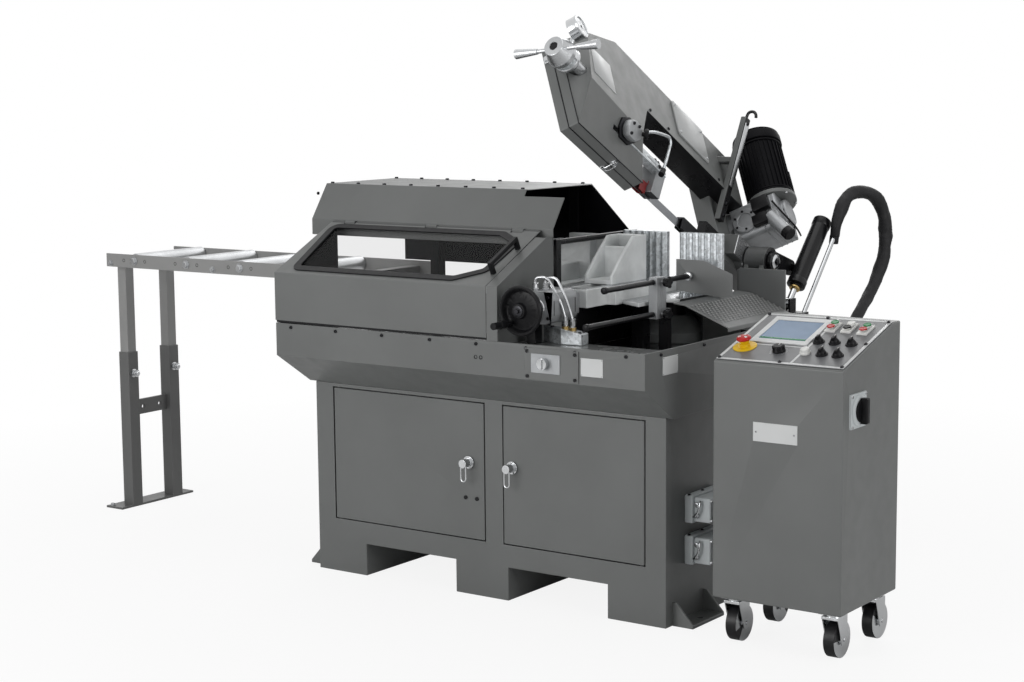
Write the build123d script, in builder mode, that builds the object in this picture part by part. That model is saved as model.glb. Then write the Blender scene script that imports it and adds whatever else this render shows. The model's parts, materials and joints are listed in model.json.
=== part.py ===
"""CNC metal band saw: base with chip tray, feed enclosure, roller table, vise, saw arm and control pendant.

Frame: origin on the floor under the middle of the base, +X to the outfeed side, +Y to the back, +Z up.
Sizes are in mm. The saw arm is drawn raised; turning it about its pivot by lift_angle levels the blade.
"""
import os
from math import atan2, cos, hypot, radians, sin, tan

from build123d import *

os.makedirs("parts", exist_ok=True)

# Base and tray
base_length = 1270
base_depth = 800
base_height = 597
sheet = 4
leg_width = 193
pocket_height = 100
tray_front = 152
tray_back = 40
tray_end = 24

# Working heights above the floor
fold_z = base_height + 98
floor_z = base_height + 143
rim_z = base_height + 198
ledge_z = rim_z - 13
table_z = base_height + 287
bed_z = base_height + 328

# Reference lines in plan
left = -base_length / 2
right = base_length / 2
front = -base_depth / 2
back = base_depth / 2
blade_x = right - 267
vise_x = blade_x - 113
jaw_face = front + 490
ledge_back = front + 20

# Fits
running = 0.05
door_gap = 4

# Saw arm
lift_angle = 28.5
bow_tilt = 28
pivot_y = front + 860
pivot_z = base_height + 355.7
pivot_drop = 43
shaft_radius = 20
wheel_radius = 157
wheel_half = 13
idler_p = 883
drive_p = -62
blade_width = 25
blade_thick = 1.1

# Lift cylinder
lift_x = blade_x + 187
foot_y = front + 873
foot_z = base_height + 225
trunnion_y = front + 972
trunnion_z = base_height + 328
barrel_radius = 28
barrel_start = 75
barrel_end = 339
trunnion_pin = 10
eye_gap = 1.8

# Roller table
table_left = left - 1190
rail_front = front + 252
rail_back = front + 592
roller_radius = 26
roller_z = bed_z - 23
roller_offsets = (1050, 798, 548, 298)
leg_x = left - 1168
leg_spread = 101

# Feed enclosure
hood_left = left - 115
hood_sheet = 3
edge_y = front + 130
edge_z = base_height + 495
hood_top = base_height + 603
hood_back = front + 560
hood_slope = 75
guard_left = left - 25
guard_right = blade_x - 233
guard_fold = base_height + 353

# Pendant
pendant_left = right + 174
pendant_width = 382
pendant_front = front - 48
pendant_depth = 344
pendant_back = pendant_front + pendant_depth
pendant_front_top = 778
pendant_back_top = 873
caster_radius = 50
pendant_bottom = 2 * caster_radius + 30

# Cords
cable_radius = 7
hose_radius = 12


def middle(span):
    return (span[0] + span[1]) / 2


def length(span):
    return span[1] - span[0]


def block(x, y, z, mode=Mode.ADD):
    """Box between three spans."""
    with Locations((middle(x), middle(y), middle(z))):
        Box(length(x), length(y), length(z), mode=mode)


def rod(start, direction, radius, size, mode=Mode.ADD):
    """Round bar from a point along a direction."""
    with Locations(Plane(origin=start, z_dir=direction)):
        Cylinder(radius, size, align=(Align.CENTER, Align.CENTER, Align.MIN), mode=mode)


def polygon(plane, points, inset=0):
    """Face drawn on a plane, with every side moved inwards by inset."""
    with BuildSketch(plane) as outline:
        with BuildLine():
            Polyline(*points, close=True)
        make_face()
        if inset > 0:
            offset(amount=-inset, kind=Kind.INTERSECTION)
    return outline.sketch


def prism(plane, points, depth, mode=Mode.ADD, inset=0):
    """Polygon drawn on a plane and pulled along its normal."""
    extrude(polygon(plane, points, inset), amount=depth, mode=mode)


def in_frame(plane, p, q, r, mode=Mode.ADD):
    """Box between three spans of a tilted frame."""
    with Locations(plane):
        with Locations((middle(p), middle(q), middle(r))):
            Box(length(p), length(q), length(r), mode=mode)


def bent_sheet(points, thick):
    """Closed outline of a bent sheet: the given side first, then the side to its right."""
    inner = []
    for index, point in enumerate(points):
        before = points[max(index - 1, 0)]
        after = points[min(index + 1, len(points) - 1)]
        normals = []
        for start, end in ((before, point), (point, after)):
            run = hypot(end[0] - start[0], end[1] - start[1])
            if run > 0:
                normals.append(((end[1] - start[1]) / run, -(end[0] - start[0]) / run))
        nx = sum(n[0] for n in normals) / len(normals)
        ny = sum(n[1] for n in normals) / len(normals)
        stretch = thick / (nx * nx + ny * ny)
        inner.append((point[0] + nx * stretch, point[1] + ny * stretch))
    return list(points) + inner[::-1]


def bend_radii(points):
    """Largest bend that leaves a tenth of the shorter run straight at each corner."""
    radii = []
    for before, corner, after in zip(points, points[1:], points[2:]):
        first = Vector(*corner) - Vector(*before)
        second = Vector(*after) - Vector(*corner)
        turn = radians(first.get_angle(second))
        radii.append(0.45 * min(first.length, second.length) / tan(turn / 2))
    return radii


def tube(points, radius):
    """Round cord along straight runs joined by tangent bends."""
    radii = bend_radii(points)
    print("bend radii", [round(value) for value in radii])
    with BuildLine() as path:
        FilletPolyline(*points, radius=radii)
    with BuildSketch(Plane(origin=points[0], z_dir=path.line % 0)) as section:
        Circle(radius)
    sweep(section.sketch, path=path.line)


def save(piece, name):
    piece.part.label = name
    export_step(piece.part, "parts/" + name + ".step")


# Frames of the saw arm: bow lies in the plane of the wheels, cut lies in the plane of the cut
lift = radians(lift_angle)
tilt = radians(bow_tilt)
along = Vector(0, -cos(lift), sin(lift))
above = Vector(0, sin(lift), cos(lift))
across = Vector(-sin(tilt), cos(tilt) * sin(lift), cos(tilt) * cos(lift))
outward = along.cross(across)
blade_origin = Vector(blade_x, pivot_y, pivot_z) - above * pivot_drop
bow = Plane(origin=blade_origin, x_dir=along, z_dir=outward)
cut = Plane(origin=blade_origin, x_dir=along, z_dir=(-1, 0, 0))


def bow_point(p, q, r):
    return blade_origin + along * p + across * q + outward * r


# Base cabinet
pocket_width = (base_length - 3 * leg_width) / 2
leg_starts = (left, left + leg_width + pocket_width, right - leg_width)
door_bottom = pocket_height + 71
door_top = base_height - 15
left_door_x = (left + 73, left + 647)
right_door_x = (left + 718, right - 71)
door_depth = 20
pin_inset = 14
pin_radius = 4
anchor_hole = 9
anchor_reach = 38
foot_reach = 66
anchor_y = (front + 125, back - 125)
cabinet_hinges = (left_door_x[0] + pin_inset, right_door_x[1] - pin_inset)
hose_route = [
    (lift_x + 50, back + 291, base_height + 424),
    (lift_x + 63, back + 288, base_height + 504),
    (lift_x + 72, back + 378, base_height + 572),
    (lift_x + 128, back + 479, base_height + 535),
    (lift_x + 140, back + 492, base_height + 372),
    (lift_x + 120, back + 434, base_height + 249),
    (lift_x + 130, back + 300, base_height + 175),
    (lift_x + 120, back + 189, base_height + 72),
    (lift_x + 65, back + 120, base_height - 27),
    (lift_x + 55, back + 22, base_height - 52),
]
hose_first = Vector(*hose_route[1]) - Vector(*hose_route[0])
hose_last = Vector(*hose_route[-1]) - Vector(*hose_route[-2])

with BuildPart() as base_cabinet:
    block((left, right), (front, back), (0, base_height))
    for start in leg_starts[:2]:
        pocket = (start + leg_width, start + leg_width + pocket_width)
        block(pocket, (front - 1, back + 1), (-1, pocket_height), Mode.SUBTRACT)
    inside_y = (front + sheet, back - sheet)
    inside_z = (pocket_height + sheet, base_height - sheet)
    block((left + sheet, right - sheet), inside_y, inside_z, Mode.SUBTRACT)
    for start in leg_starts:
        leg_inside = (start + sheet, start + leg_width - sheet)
        block(leg_inside, inside_y, (sheet, pocket_height + sheet + 1), Mode.SUBTRACT)
    opening_z = (door_bottom - 3, door_top + 3)
    left_opening = (left_door_x[0] - door_gap, left_door_x[1] + door_gap)
    right_opening = (right_door_x[0] - door_gap, right_door_x[1] + door_gap)
    for opening in (left_opening, right_opening):
        block(opening, (front - 1, front + sheet + 1), opening_z, Mode.SUBTRACT)
    for hinge_x in cabinet_hinges:
        lug_x = (hinge_x - 12, hinge_x + 12)
        block(lug_x, (front, front + 22), (opening_z[0] - 12, opening_z[0]))
        block(lug_x, (front, front + 22), (opening_z[1], base_height - sheet))
        pin_start = (hinge_x, front + door_depth / 2, opening_z[0] - 12)
        pin_run = base_height - sheet - pin_start[2]
        rod(pin_start, (0, 0, 1), pin_radius + running, pin_run, Mode.SUBTRACT)
    for side, wall in ((-1, left), (1, right)):
        for y in anchor_y:
            plate_x = sorted((wall, wall + side * foot_reach))
            block(plate_x, (y - 90, y + 90), (0, 10))
            for gusset_y in (y - 90, y + 82):
                corners = [(wall, 10), (wall + side * foot_reach, 10), (wall + side * 12, 69), (wall, 69)]
                prism(Plane.XZ.offset(-gusset_y), corners, -8)
            rod((wall + side * anchor_reach, y, -1), (0, 0, 1), anchor_hole, 12, Mode.SUBTRACT)
    hose_end = Vector(*hose_route[-1])
    rod(hose_end, hose_last, hose_radius + 4, 30)
    rod(hose_end + hose_last.normalized() * 18, hose_last, hose_radius - 2, 30, Mode.SUBTRACT)
save(base_cabinet, "base_cabinet")

# Doors: shallow pans on vertical pins
latch_z = base_height - 195
latch_radius = 6
latch_reach = 66
bail_half = 9
bail_drop = 54
bail_wire = 2.5


def door(span, hinge_x, latch_x, bumpers):
    with BuildPart() as piece:
        block(span, (front, front + door_depth), (door_bottom, door_top))
        inner = (span[0] + 3, span[1] - 3)
        block(inner, (front + 3, front + door_depth + 1), (door_bottom + 3, door_top - 3), Mode.SUBTRACT)
        pin_y = front + door_depth / 2
        rod((hinge_x, pin_y, door_bottom - 13), (0, 0, 1), pin_radius, 16)
        rod((hinge_x, pin_y, door_top - 3), (0, 0, 1), pin_radius, 13)
        rod((latch_x, front - 1, latch_z), (0, 1, 0), latch_radius + running, 6, Mode.SUBTRACT)
        for bumper_x in bumpers:
            rod((bumper_x, front - 3, latch_z - 108), (0, 1, 0), 6, 4)
    return piece


left_latch_x = left + 593
right_latch_x = left + 750
left_door = door(left_door_x, cabinet_hinges[0], left_latch_x, (left + 579, left + 620))
save(left_door, "left_door")
right_door = door(right_door_x, cabinet_hinges[1], right_latch_x, ())
save(right_door, "right_door")


def door_latch(x):
    with BuildPart() as piece:
        rod((x, front - 0.3, latch_z), (0, -1, 0), 19, 6)
        rod((x, front - 6, latch_z), (0, -1, 0), 13, 30)
        rod((x, front - 0.5, latch_z), (0, 1, 0), latch_radius, 27)
        block((x - 9, x + 9), (front + 21, front + 26), (latch_z - 9, latch_z + latch_reach))
        bail_y = front - 30
        bail_low = latch_z - bail_drop
        for leg_x in (x - bail_half, x + bail_half):
            rod((leg_x, bail_y, latch_z - 4), (0, 0, -1), bail_wire, bail_drop - bail_half - 4)
        bend_plane = Plane(origin=(x - bail_half, bail_y, bail_low + bail_half), z_dir=(0, 0, 1))
        with BuildSketch(bend_plane) as section:
            Circle(bail_wire)
        bend_axis = Axis((x, bail_y, bail_low + bail_half), (0, -1, 0))
        revolve(section.sketch, axis=bend_axis, revolution_arc=180)
    return piece


left_door_latch = door_latch(left_latch_x)
save(left_door_latch, "left_door_latch")
right_door_latch = door_latch(right_latch_x)
save(right_door_latch, "right_door_latch")

# Chip tray
tray_x = (left - tray_end, right + tray_end)
panel_x = (right - 366, right - 187)
panel_z = (fold_z + 2, rim_z - 8)
knob_x = right - 296
knob_z = fold_z + 51
tray_outline = [
    (front - tray_front, rim_z),
    (front - tray_front, fold_z),
    (front, base_height),
    (back, base_height),
    (back + tray_back, base_height + 60),
    (back + tray_back, rim_z),
]
cavity_outline = [
    (front - tray_front + sheet, ledge_z - sheet),
    (front - tray_front + sheet, fold_z + 2),
    (front + 2, base_height + sheet),
    (back - 2, base_height + sheet),
    (back + tray_back - sheet, base_height + 62),
    (back + tray_back - sheet, floor_z - sheet),
    (ledge_back - sheet, floor_z - sheet),
    (ledge_back - sheet, ledge_z - sheet),
]
with BuildPart() as chip_tray:
    prism(Plane.YZ.offset(tray_x[0]), tray_outline, length(tray_x))
    inner_x = (tray_x[0] + sheet, tray_x[1] - sheet)
    inner_y = (front - tray_front + sheet, back + tray_back - sheet)
    block(inner_x, inner_y, (ledge_z, rim_z + 1), Mode.SUBTRACT)
    block(inner_x, (ledge_back, inner_y[1]), (floor_z, rim_z), Mode.SUBTRACT)
    prism(Plane.YZ.offset(inner_x[0]), cavity_outline, length(inner_x), Mode.SUBTRACT)
    well_z = (base_height - 1, base_height + sheet + 1)
    block((left + 50, right - 50), (front + 50, back - 50), well_z, Mode.SUBTRACT)
    tray_face = front - tray_front
    block(panel_x, (tray_face - 4, tray_face), panel_z)
    block((knob_x - 46, knob_x + 50), (tray_face - 7, tray_face - 4), (knob_z - 28, knob_z + 26))
    for bolt_x in (panel_x[0] + 10, panel_x[1] - 10):
        for bolt_z in (panel_z[0] + 10, panel_z[1] - 10):
            rod((bolt_x, tray_face - 4, bolt_z), (0, -1, 0), 5, 3)
    block((panel_x[1] + 7, panel_x[1] + 78), (tray_face - 1.5, tray_face), (fold_z + 25, fold_z + 75))
    block((tray_x[1], tray_x[1] + 1.5), (front - 60, front + 20), (fold_z + 30, fold_z + 80))
    rod((knob_x, tray_face - 8, knob_z), (0, 1, 0), 5 + running, 20, Mode.SUBTRACT)
save(chip_tray, "chip_tray")

with BuildPart() as valve_knob:
    rod((knob_x, tray_face - 7.3, knob_z), (0, -1, 0), 16, 16)
    rod((knob_x, tray_face - 8, knob_z), (0, 1, 0), 5, 14)
    block((knob_x - 3, knob_x + 3), (tray_face - 27, tray_face - 20), (knob_z - 15, knob_z + 15))
save(valve_knob, "valve_knob")

# Power sockets on the outfeed end
socket_y = (front + 98, front + 258)
socket_heights = ((285, 365), (165, 250))
plug_x = right + 55
cable_starts = [(plug_x, socket_y[1] + 18, (low + high) / 2) for low, high in socket_heights]
upper_route = [
    cable_starts[0],
    (plug_x, socket_y[1] + 92, cable_starts[0][2] - 25),
    (plug_x + 55, socket_y[1] + 162, cable_starts[0][2] - 80),
    (plug_x + 140, socket_y[1] + 177, cable_starts[0][2] - 120),
    (plug_x + 205, socket_y[1] + 132, cable_starts[0][2] - 120),
    (plug_x + 215, pendant_back + 20, cable_starts[0][2] - 105),
]
lower_route = [
    cable_starts[1],
    (plug_x, socket_y[1] + 94, cable_starts[1][2] - 17),
    (plug_x + 50, socket_y[1] + 172, cable_starts[1][2] - 47),
    (plug_x + 140, socket_y[1] + 202, cable_starts[1][2] - 60),
    (plug_x + 240, socket_y[1] + 152, cable_starts[1][2] - 58),
    (plug_x + 255, pendant_back + 20, cable_starts[1][2] - 42),
]
with BuildPart() as power_sockets:
    for (low, high), route in zip(socket_heights, (upper_route, lower_route)):
        block((right, right + 28), socket_y, (low, high))
        block((right + 28.3, right + 82), (socket_y[0] + 6, socket_y[1] - 6), (low + 5, high - 5))
        exit_way = (Vector(*route[1]) - Vector(*route[0])).normalized()
        rod(Vector(*route[0]) - exit_way * 30, exit_way, cable_radius + 5, 30)
save(power_sockets, "power_sockets")

# Feed enclosure: hood, end plates, posts and tie bar in one welded frame
hood_right = blade_x - 194
hood_top_right = blade_x - 338
hinge_y = edge_y - 6
hinge_z = edge_z - 9
hinge_lugs = [middle((guard_left, guard_right)) + shift for shift in (-320, 0, 320)]


def hood_outline(low):
    """Side view of the hood down to a height."""
    return [
        (edge_y, low),
        (edge_y, edge_z),
        (edge_y + hood_slope, hood_top),
        (hood_back, hood_top),
        (hood_back, low),
    ]


end_profile = [
    (front - tray_front, rim_z),
    (front - tray_front, guard_fold),
    (front + 95, base_height + 473),
    (front + 134, base_height + 473),
]
with BuildPart() as feed_hood:
    hood_length = hood_right - hood_left
    prism(Plane.YZ.offset(hood_left), hood_outline(edge_z - 50), hood_length)
    inside_start = Plane.YZ.offset(hood_left + hood_sheet)
    prism(inside_start, hood_outline(edge_z - 60), hood_length, Mode.SUBTRACT, hood_sheet)
    end_low = hood_top - hood_right - 1 + hood_top_right
    end_cut = [
        (hood_top_right, hood_top + 1),
        (hood_top_right, hood_top),
        (hood_right + 1, end_low),
        (hood_right + 1, hood_top + 1),
    ]
    end_depth = hood_back - edge_y - hood_slope - 3
    prism(Plane.XZ.offset(-hood_back - 1), end_cut, end_depth, Mode.SUBTRACT)
    # The open end of the front wall stays low enough for the wheel cover to swing over it
    wall_y = (edge_y - 1, edge_y + hood_slope + 4)
    block((hood_top_right, hood_right + 1), wall_y, (hood_top - 20, hood_top + 1), Mode.SUBTRACT)
    back_panel_x = (hood_left + 36, hood_top_right - 6)
    block(back_panel_x, (hood_back - hood_sheet, hood_back), (bed_z + 5, edge_z - 49))
    stock_gap = (edge_y + 12, hood_back - 12)
    block((hood_left - 1, hood_left + 10), stock_gap, (edge_z - 60, edge_z - 10), Mode.SUBTRACT)
    plate_foot = [
        (front + 134, floor_z),
        (ledge_back, floor_z),
        (ledge_back, ledge_z),
        (front - tray_front + sheet, ledge_z),
        (front - tray_front + sheet, rim_z),
    ]
    prism(Plane.YZ.offset(blade_x - 198), end_profile + plate_foot, hood_sheet)
    prism(Plane.YZ.offset(guard_right + 1.5), bent_sheet(end_profile[:3], hood_sheet), 38)
    inner_plate = [
        (front - 140, ledge_z),
        (front - 140, guard_fold - 8),
        (edge_y - 16, hinge_z - 11),
        (edge_y + 4, hinge_z - 11),
        (edge_y + 4, floor_z),
        (ledge_back, floor_z),
        (ledge_back, ledge_z),
    ]
    prism(Plane.YZ.offset(left - 16), inner_plate, hood_sheet)
    for post_x in (left + 56, hood_top_right - 60):
        block((post_x, post_x + 36), (hood_back - 40, hood_back - 4), (floor_z, hood_top - 1))
    for lug_x in hinge_lugs:
        block((lug_x - 20, lug_x + 20), (hinge_y - 7, edge_y + 1), (hinge_z - 8, hinge_z + 7))
        rod((lug_x - 21, hinge_y, hinge_z), (1, 0, 0), 4 + running, 42, Mode.SUBTRACT)
    bar_x = blade_x - 203
    for post_y in (front + 157, front + 581):
        block((bar_x - 12, bar_x + 12), (post_y - 12, post_y + 12), (floor_z, base_height + 463))
    rod((bar_x, front + 157, base_height + 455), (0, 1, 0), 9, 424)
    block((bar_x - 2, blade_x - 196), (front + 120, front + 150), (floor_z, floor_z + 120))
save(feed_hood, "feed_hood")

# Hinged guard with its window
guard_slope = atan2(edge_z - 2 - guard_fold, tray_front + 130)
guard_plane = Plane(
    origin=(0, front - tray_front, guard_fold),
    x_dir=(1, 0, 0),
    z_dir=(0, -sin(guard_slope), cos(guard_slope)),
)
guard_run = (hinge_y - front + tray_front) / cos(guard_slope)
window = [
    (left + 35, 24),
    (left + 640, 22),
    (left + 725, 75),
    (left + 735, 235),
    (left + 655, guard_run - 26),
    (left + 2, guard_run - 26),
]
handle_x = left + 755
handle_run = (60, 210)


def window_outline(grow):
    with BuildSketch() as outline:
        with BuildLine():
            Polyline(*window, close=True)
        make_face()
        fillet(outline.vertices(), 28)
        offset(amount=grow)
    return outline.sketch


guard_profile = [
    (front - tray_front, rim_z + 8),
    (front - tray_front, guard_fold),
    (hinge_y, guard_fold + (hinge_y - front + tray_front) * tan(guard_slope)),
]
with BuildPart() as feed_guard:
    prism(Plane.YZ.offset(guard_left), bent_sheet(guard_profile, hood_sheet), guard_right - guard_left)
    rod((guard_left + 4, hinge_y, hinge_z), (1, 0, 0), 4, guard_right - guard_left - 8)
    for lug_x in hinge_lugs:
        lug_gap = (lug_x - 22, lug_x + 22)
        block(lug_gap, (hinge_y - 16, hinge_y + 12), (hinge_z - 18, hinge_z + 16), Mode.SUBTRACT)
        rod((lug_x - 23, hinge_y, hinge_z), (1, 0, 0), 4, 46)
    with BuildSketch(guard_plane):
        add(window_outline(0.5))
    extrude(amount=-hood_sheet - 2, mode=Mode.SUBTRACT)
    in_frame(guard_plane, (handle_x - 7, handle_x + 7), handle_run, (26, 38))
    for foot in (handle_run[0], handle_run[1] - 14):
        in_frame(guard_plane, (handle_x - 7, handle_x + 7), (foot, foot + 14), (-1, 30))
save(feed_guard, "feed_guard")

with BuildPart() as guard_window:
    with BuildSketch(guard_plane.offset(-hood_sheet)):
        add(window_outline(0))
    extrude(amount=hood_sheet - 0.2)
    with BuildSketch(guard_plane):
        add(window_outline(8))
        add(window_outline(-16), mode=Mode.SUBTRACT)
    extrude(amount=4)
save(guard_window, "guard_window")

# Roller table
rail_thick = 6
axle_radius = 8
cross_offsets = (1168, 673, 60)
with BuildPart() as table_frame:
    for rail_y in (rail_front, rail_back - rail_thick):
        block((table_left, left + 60), (rail_y, rail_y + rail_thick), (bed_z - 48, bed_z - 1))
    for shift in cross_offsets:
        cross_x = left - shift
        cross_y = (rail_front + 1, rail_back - 1)
        block((cross_x - 20, cross_x + 20), cross_y, (bed_z - 48, bed_z - 18))
        cross_inside = (rail_front + 8, rail_back - 8)
        block((cross_x - 17, cross_x + 17), cross_inside, (bed_z - 45, bed_z - 21), Mode.SUBTRACT)
    for side in (-1, 1):
        leg_y = middle((rail_front, rail_back)) + side * leg_spread
        block((leg_x - 20, leg_x + 20), (leg_y - 20, leg_y + 20), (300, bed_z - 47))
        block((leg_x - 17, leg_x + 17), (leg_y - 17, leg_y + 17), (299, bed_z - 50), Mode.SUBTRACT)
    for post_y in (rail_front, rail_back - 40):
        block((left + 10, left + 50), (post_y, post_y + 40), (floor_z, bed_z - 47))
    for shift in roller_offsets:
        axle_start = (left - shift, rail_front - 1, roller_z)
        rod(axle_start, (0, 1, 0), axle_radius + running, rail_back - rail_front + 2, Mode.SUBTRACT)
save(table_frame, "table_frame")


def table_roller(x):
    with BuildPart() as piece:
        barrel_y = (rail_front + rail_thick + 2, rail_back - rail_thick - 2)
        rod((x, barrel_y[0], roller_z), (0, 1, 0), roller_radius, length(barrel_y))
        rod((x, rail_front - 4, roller_z), (0, 1, 0), axle_radius, rail_back - rail_front + 8)
    return piece


for number, shift in enumerate(roller_offsets, 1):
    save(table_roller(left - shift), "table_roller_" + str(number))

foot_thick = 8
sleeve_top = bed_z - 360
with BuildPart() as table_stand:
    middle_y = middle((rail_front, rail_back))
    block((leg_x - 58, leg_x + 24), (middle_y - 180, middle_y + 181), (0, foot_thick))
    block((leg_x - 6, leg_x + 6), (middle_y - leg_spread, middle_y + leg_spread), (330, 385))
    for side in (-1, 1):
        leg_y = middle_y + side * leg_spread
        block((leg_x - 24, leg_x + 24), (leg_y - 24, leg_y + 24), (0, sleeve_top))
        hollow_x = (leg_x - 20 - running, leg_x + 20 + running)
        hollow_y = (leg_y - 20 - running, leg_y + 20 + running)
        block(hollow_x, hollow_y, (foot_thick, sleeve_top + 1), Mode.SUBTRACT)
        rod((leg_x + 24, leg_y, sleeve_top - 77), (1, 0, 0), 9, 16)
        rod((leg_x - 7, leg_y - side * 60, 357), (1, 0, 0), 8, 14, Mode.SUBTRACT)
save(table_stand, "table_stand")

# Feed slide inside the enclosure
guide_z = floor_z + 70
guide_y = (front + 330, front + 430)
feed_left = left + 75
feed_right = guard_right + 1
with BuildPart() as feed_rails:
    for block_x in (feed_left, feed_right):
        block((block_x, block_x + 25), (front + 290, front + 470), (floor_z, floor_z + 100))
    for y in guide_y:
        rod((feed_left + 5, y, guide_z), (1, 0, 0), 14, feed_right - feed_left + 15)
    rod((feed_left + 5, middle(guide_y), guide_z), (1, 0, 0), 10, feed_right - feed_left + 15)
    block((feed_left - 60, feed_left + 1), (front + 340, front + 420), (floor_z + 30, floor_z + 110))
save(feed_rails, "feed_rails")

carriage_right = feed_right - 6
with BuildPart() as feed_carriage:
    saddle_x = (carriage_right - 120, carriage_right)
    block(saddle_x, (front + 300, front + 460), (floor_z + 35, floor_z + 108))
    neck_x = (carriage_right - 110, carriage_right - 10)
    block(neck_x, (front + 320, front + 440), (floor_z + 100, bed_z - 30))
    shelf_x = (carriage_right - 150, carriage_right + 16)
    block(shelf_x, (front + 230, front + 514), (bed_z - 45, bed_z - 3))
    fixed_x = (carriage_right - 140, carriage_right + 16)
    block(fixed_x, (jaw_face, front + 514), (bed_z - 4, bed_z + 125))
    moving_x = (carriage_right - 130, carriage_right + 10)
    block(moving_x, (front + 380, front + 420), (bed_z - 4, bed_z + 115))
    ram_x = (carriage_right - 90, carriage_right - 30)
    block(ram_x, (front + 250, front + 390), (bed_z - 4, bed_z + 50))
    for y in guide_y:
        rod((carriage_right - 121, y, guide_z), (1, 0, 0), 14 + running, 122, Mode.SUBTRACT)
    rod((carriage_right - 121, middle(guide_y), guide_z), (1, 0, 0), 10 + running, 122, Mode.SUBTRACT)
save(feed_carriage, "feed_carriage")

# Vise bed with its pedestal
bed_left = blade_x - 186
bed_right = blade_x - 26
screw_z = bed_z - 38
screw_radius = 12
slot_half = 26
dome_radius = 96
table_right = blade_x + 110
with BuildPart() as vise_bed:
    block((bed_left, bed_right), (front + 205, front + 600), (table_z - 12, bed_z))
    block((bed_left, blade_x - 58), (front + 100, front + 206), (table_z - 12, bed_z))
    plan = [
        (blade_x - 68, front + 268),
        (blade_x + 57, front + 195),
        (blade_x + 57, front + 340),
        (table_right, front + 340),
        (table_right, front + 600),
        (blade_x - 68, front + 600),
    ]
    prism(Plane.XY.offset(table_z - 12), plan, 12)
    block((bed_left, bed_left + 42), (front + 100, front + 600), (floor_z, table_z - 11))
    block((bed_left, table_right), (front + 575, front + 600), (floor_z, table_z - 11))
    block((blade_x + 12, blade_x + 52), (front + 230, front + 270), (floor_z, table_z - 11))
    rod((blade_x, jaw_face, floor_z), (0, 0, 1), dome_radius, 30)
    with Locations((blade_x, jaw_face, floor_z + 30)):
        Cone(dome_radius, 55, 50, align=(Align.CENTER, Align.CENTER, Align.MIN))
    rod((blade_x, jaw_face, floor_z + 70), (0, 0, 1), 40, table_z - floor_z - 75)
    slot_x = (vise_x - slot_half, vise_x + slot_half)
    block(slot_x, (front + 140, front + 470), (floor_z + 20, bed_z + 1), Mode.SUBTRACT)
    rod((vise_x, front + 99, screw_z), (0, 1, 0), screw_radius + running, 42, Mode.SUBTRACT)
save(vise_bed, "vise_bed")


def toothed_plate(start, end, low, high):
    """Jaw plate with upright vee grooves on its front."""
    count = max(int((end - start) / 20), 2)
    pitch = (end - start) / count
    points = [(start, jaw_face + 24)]
    for tooth in range(count):
        points.append((start + tooth * pitch, jaw_face + 8))
        points.append((start + (tooth + 0.5) * pitch, jaw_face))
    points.append((end, jaw_face + 8))
    points.append((end, jaw_face + 24))
    prism(Plane.XY.offset(low), points, high - low)


jaw_top = bed_z + 141
with BuildPart() as fixed_jaws:
    toothed_plate(bed_left + 3, bed_right - 2, bed_z, jaw_top)
    toothed_plate(blade_x + 16, blade_x + 160, table_z, jaw_top)
    for rib_x in (bed_left + 40, bed_right - 50, blade_x + 50, blade_x + 92):
        low = bed_z if rib_x < blade_x else table_z
        corners = [(jaw_face + 24, low), (jaw_face + 84, low), (jaw_face + 24, jaw_top - 25)]
        prism(Plane.YZ.offset(rib_x), corners, 12)
save(fixed_jaws, "fixed_jaws")

jaw_front = front + 246
jaw_back = front + 440
jaw_height = bed_z + 135
with BuildPart() as vise_jaw:
    jaw_x = (vise_x - 49, vise_x + 49)
    block(jaw_x, (jaw_back - 22, jaw_back), (bed_z, jaw_height))
    block(jaw_x, (jaw_front, jaw_back), (bed_z, bed_z + 14))
    cheek = [
        (jaw_front, bed_z),
        (jaw_back, bed_z),
        (jaw_back, jaw_height),
        (jaw_front + 120, jaw_height),
        (jaw_front + 45, bed_z + 70),
        (jaw_front, bed_z + 25),
    ]
    for cheek_x in (vise_x - 49, vise_x + 39):
        prism(Plane.YZ.offset(cheek_x), cheek, 10)
    block((vise_x - 40, vise_x + 40), (jaw_front + 95, jaw_front + 107), (bed_z, jaw_height - 30))
    tongue_x = (vise_x - slot_half + running, vise_x + slot_half - running)
    block(tongue_x, (jaw_front + 54, jaw_front + 154), (bed_z - 57, bed_z + 1))
    rod((vise_x, jaw_front + 53, screw_z), (0, 1, 0), screw_radius + running, 102, Mode.SUBTRACT)
save(vise_jaw, "vise_jaw")

handwheel_y = front - 165
wheel_rim = 72
wheel_half_section = [
    (0, 0),
    (20, 0),
    (24, 14),
    (wheel_rim - 20, 26),
    (wheel_rim - 10, 8),
    (wheel_rim - 4, 6),
    (wheel_rim, 12),
    (wheel_rim - 4, 22),
    (wheel_rim - 18, 36),
    (22, 34),
    (18, 40),
    (0, 40),
]
wheel_plane = Plane(origin=(vise_x, handwheel_y, screw_z), x_dir=(1, 0, 0), z_dir=(0, 0, 1))
with BuildPart() as vise_handwheel:
    with BuildSketch(wheel_plane) as wheel_section:
        Polygon(*wheel_half_section, align=None)
    revolve(wheel_section.sketch, axis=Axis((vise_x, handwheel_y, screw_z), (0, 1, 0)))
    screw_start = handwheel_y + 20
    rod((vise_x, screw_start, screw_z), (0, 1, 0), screw_radius, front + 465 - screw_start)
    grip = (vise_x - 38, handwheel_y + 26, screw_z - 38)
    rod(grip, (0, -1, 0), 6, 34)
    rod((grip[0], grip[1] - 30, grip[2]), (0, -1, 0), 10, 62)
save(vise_handwheel, "vise_handwheel")

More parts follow.
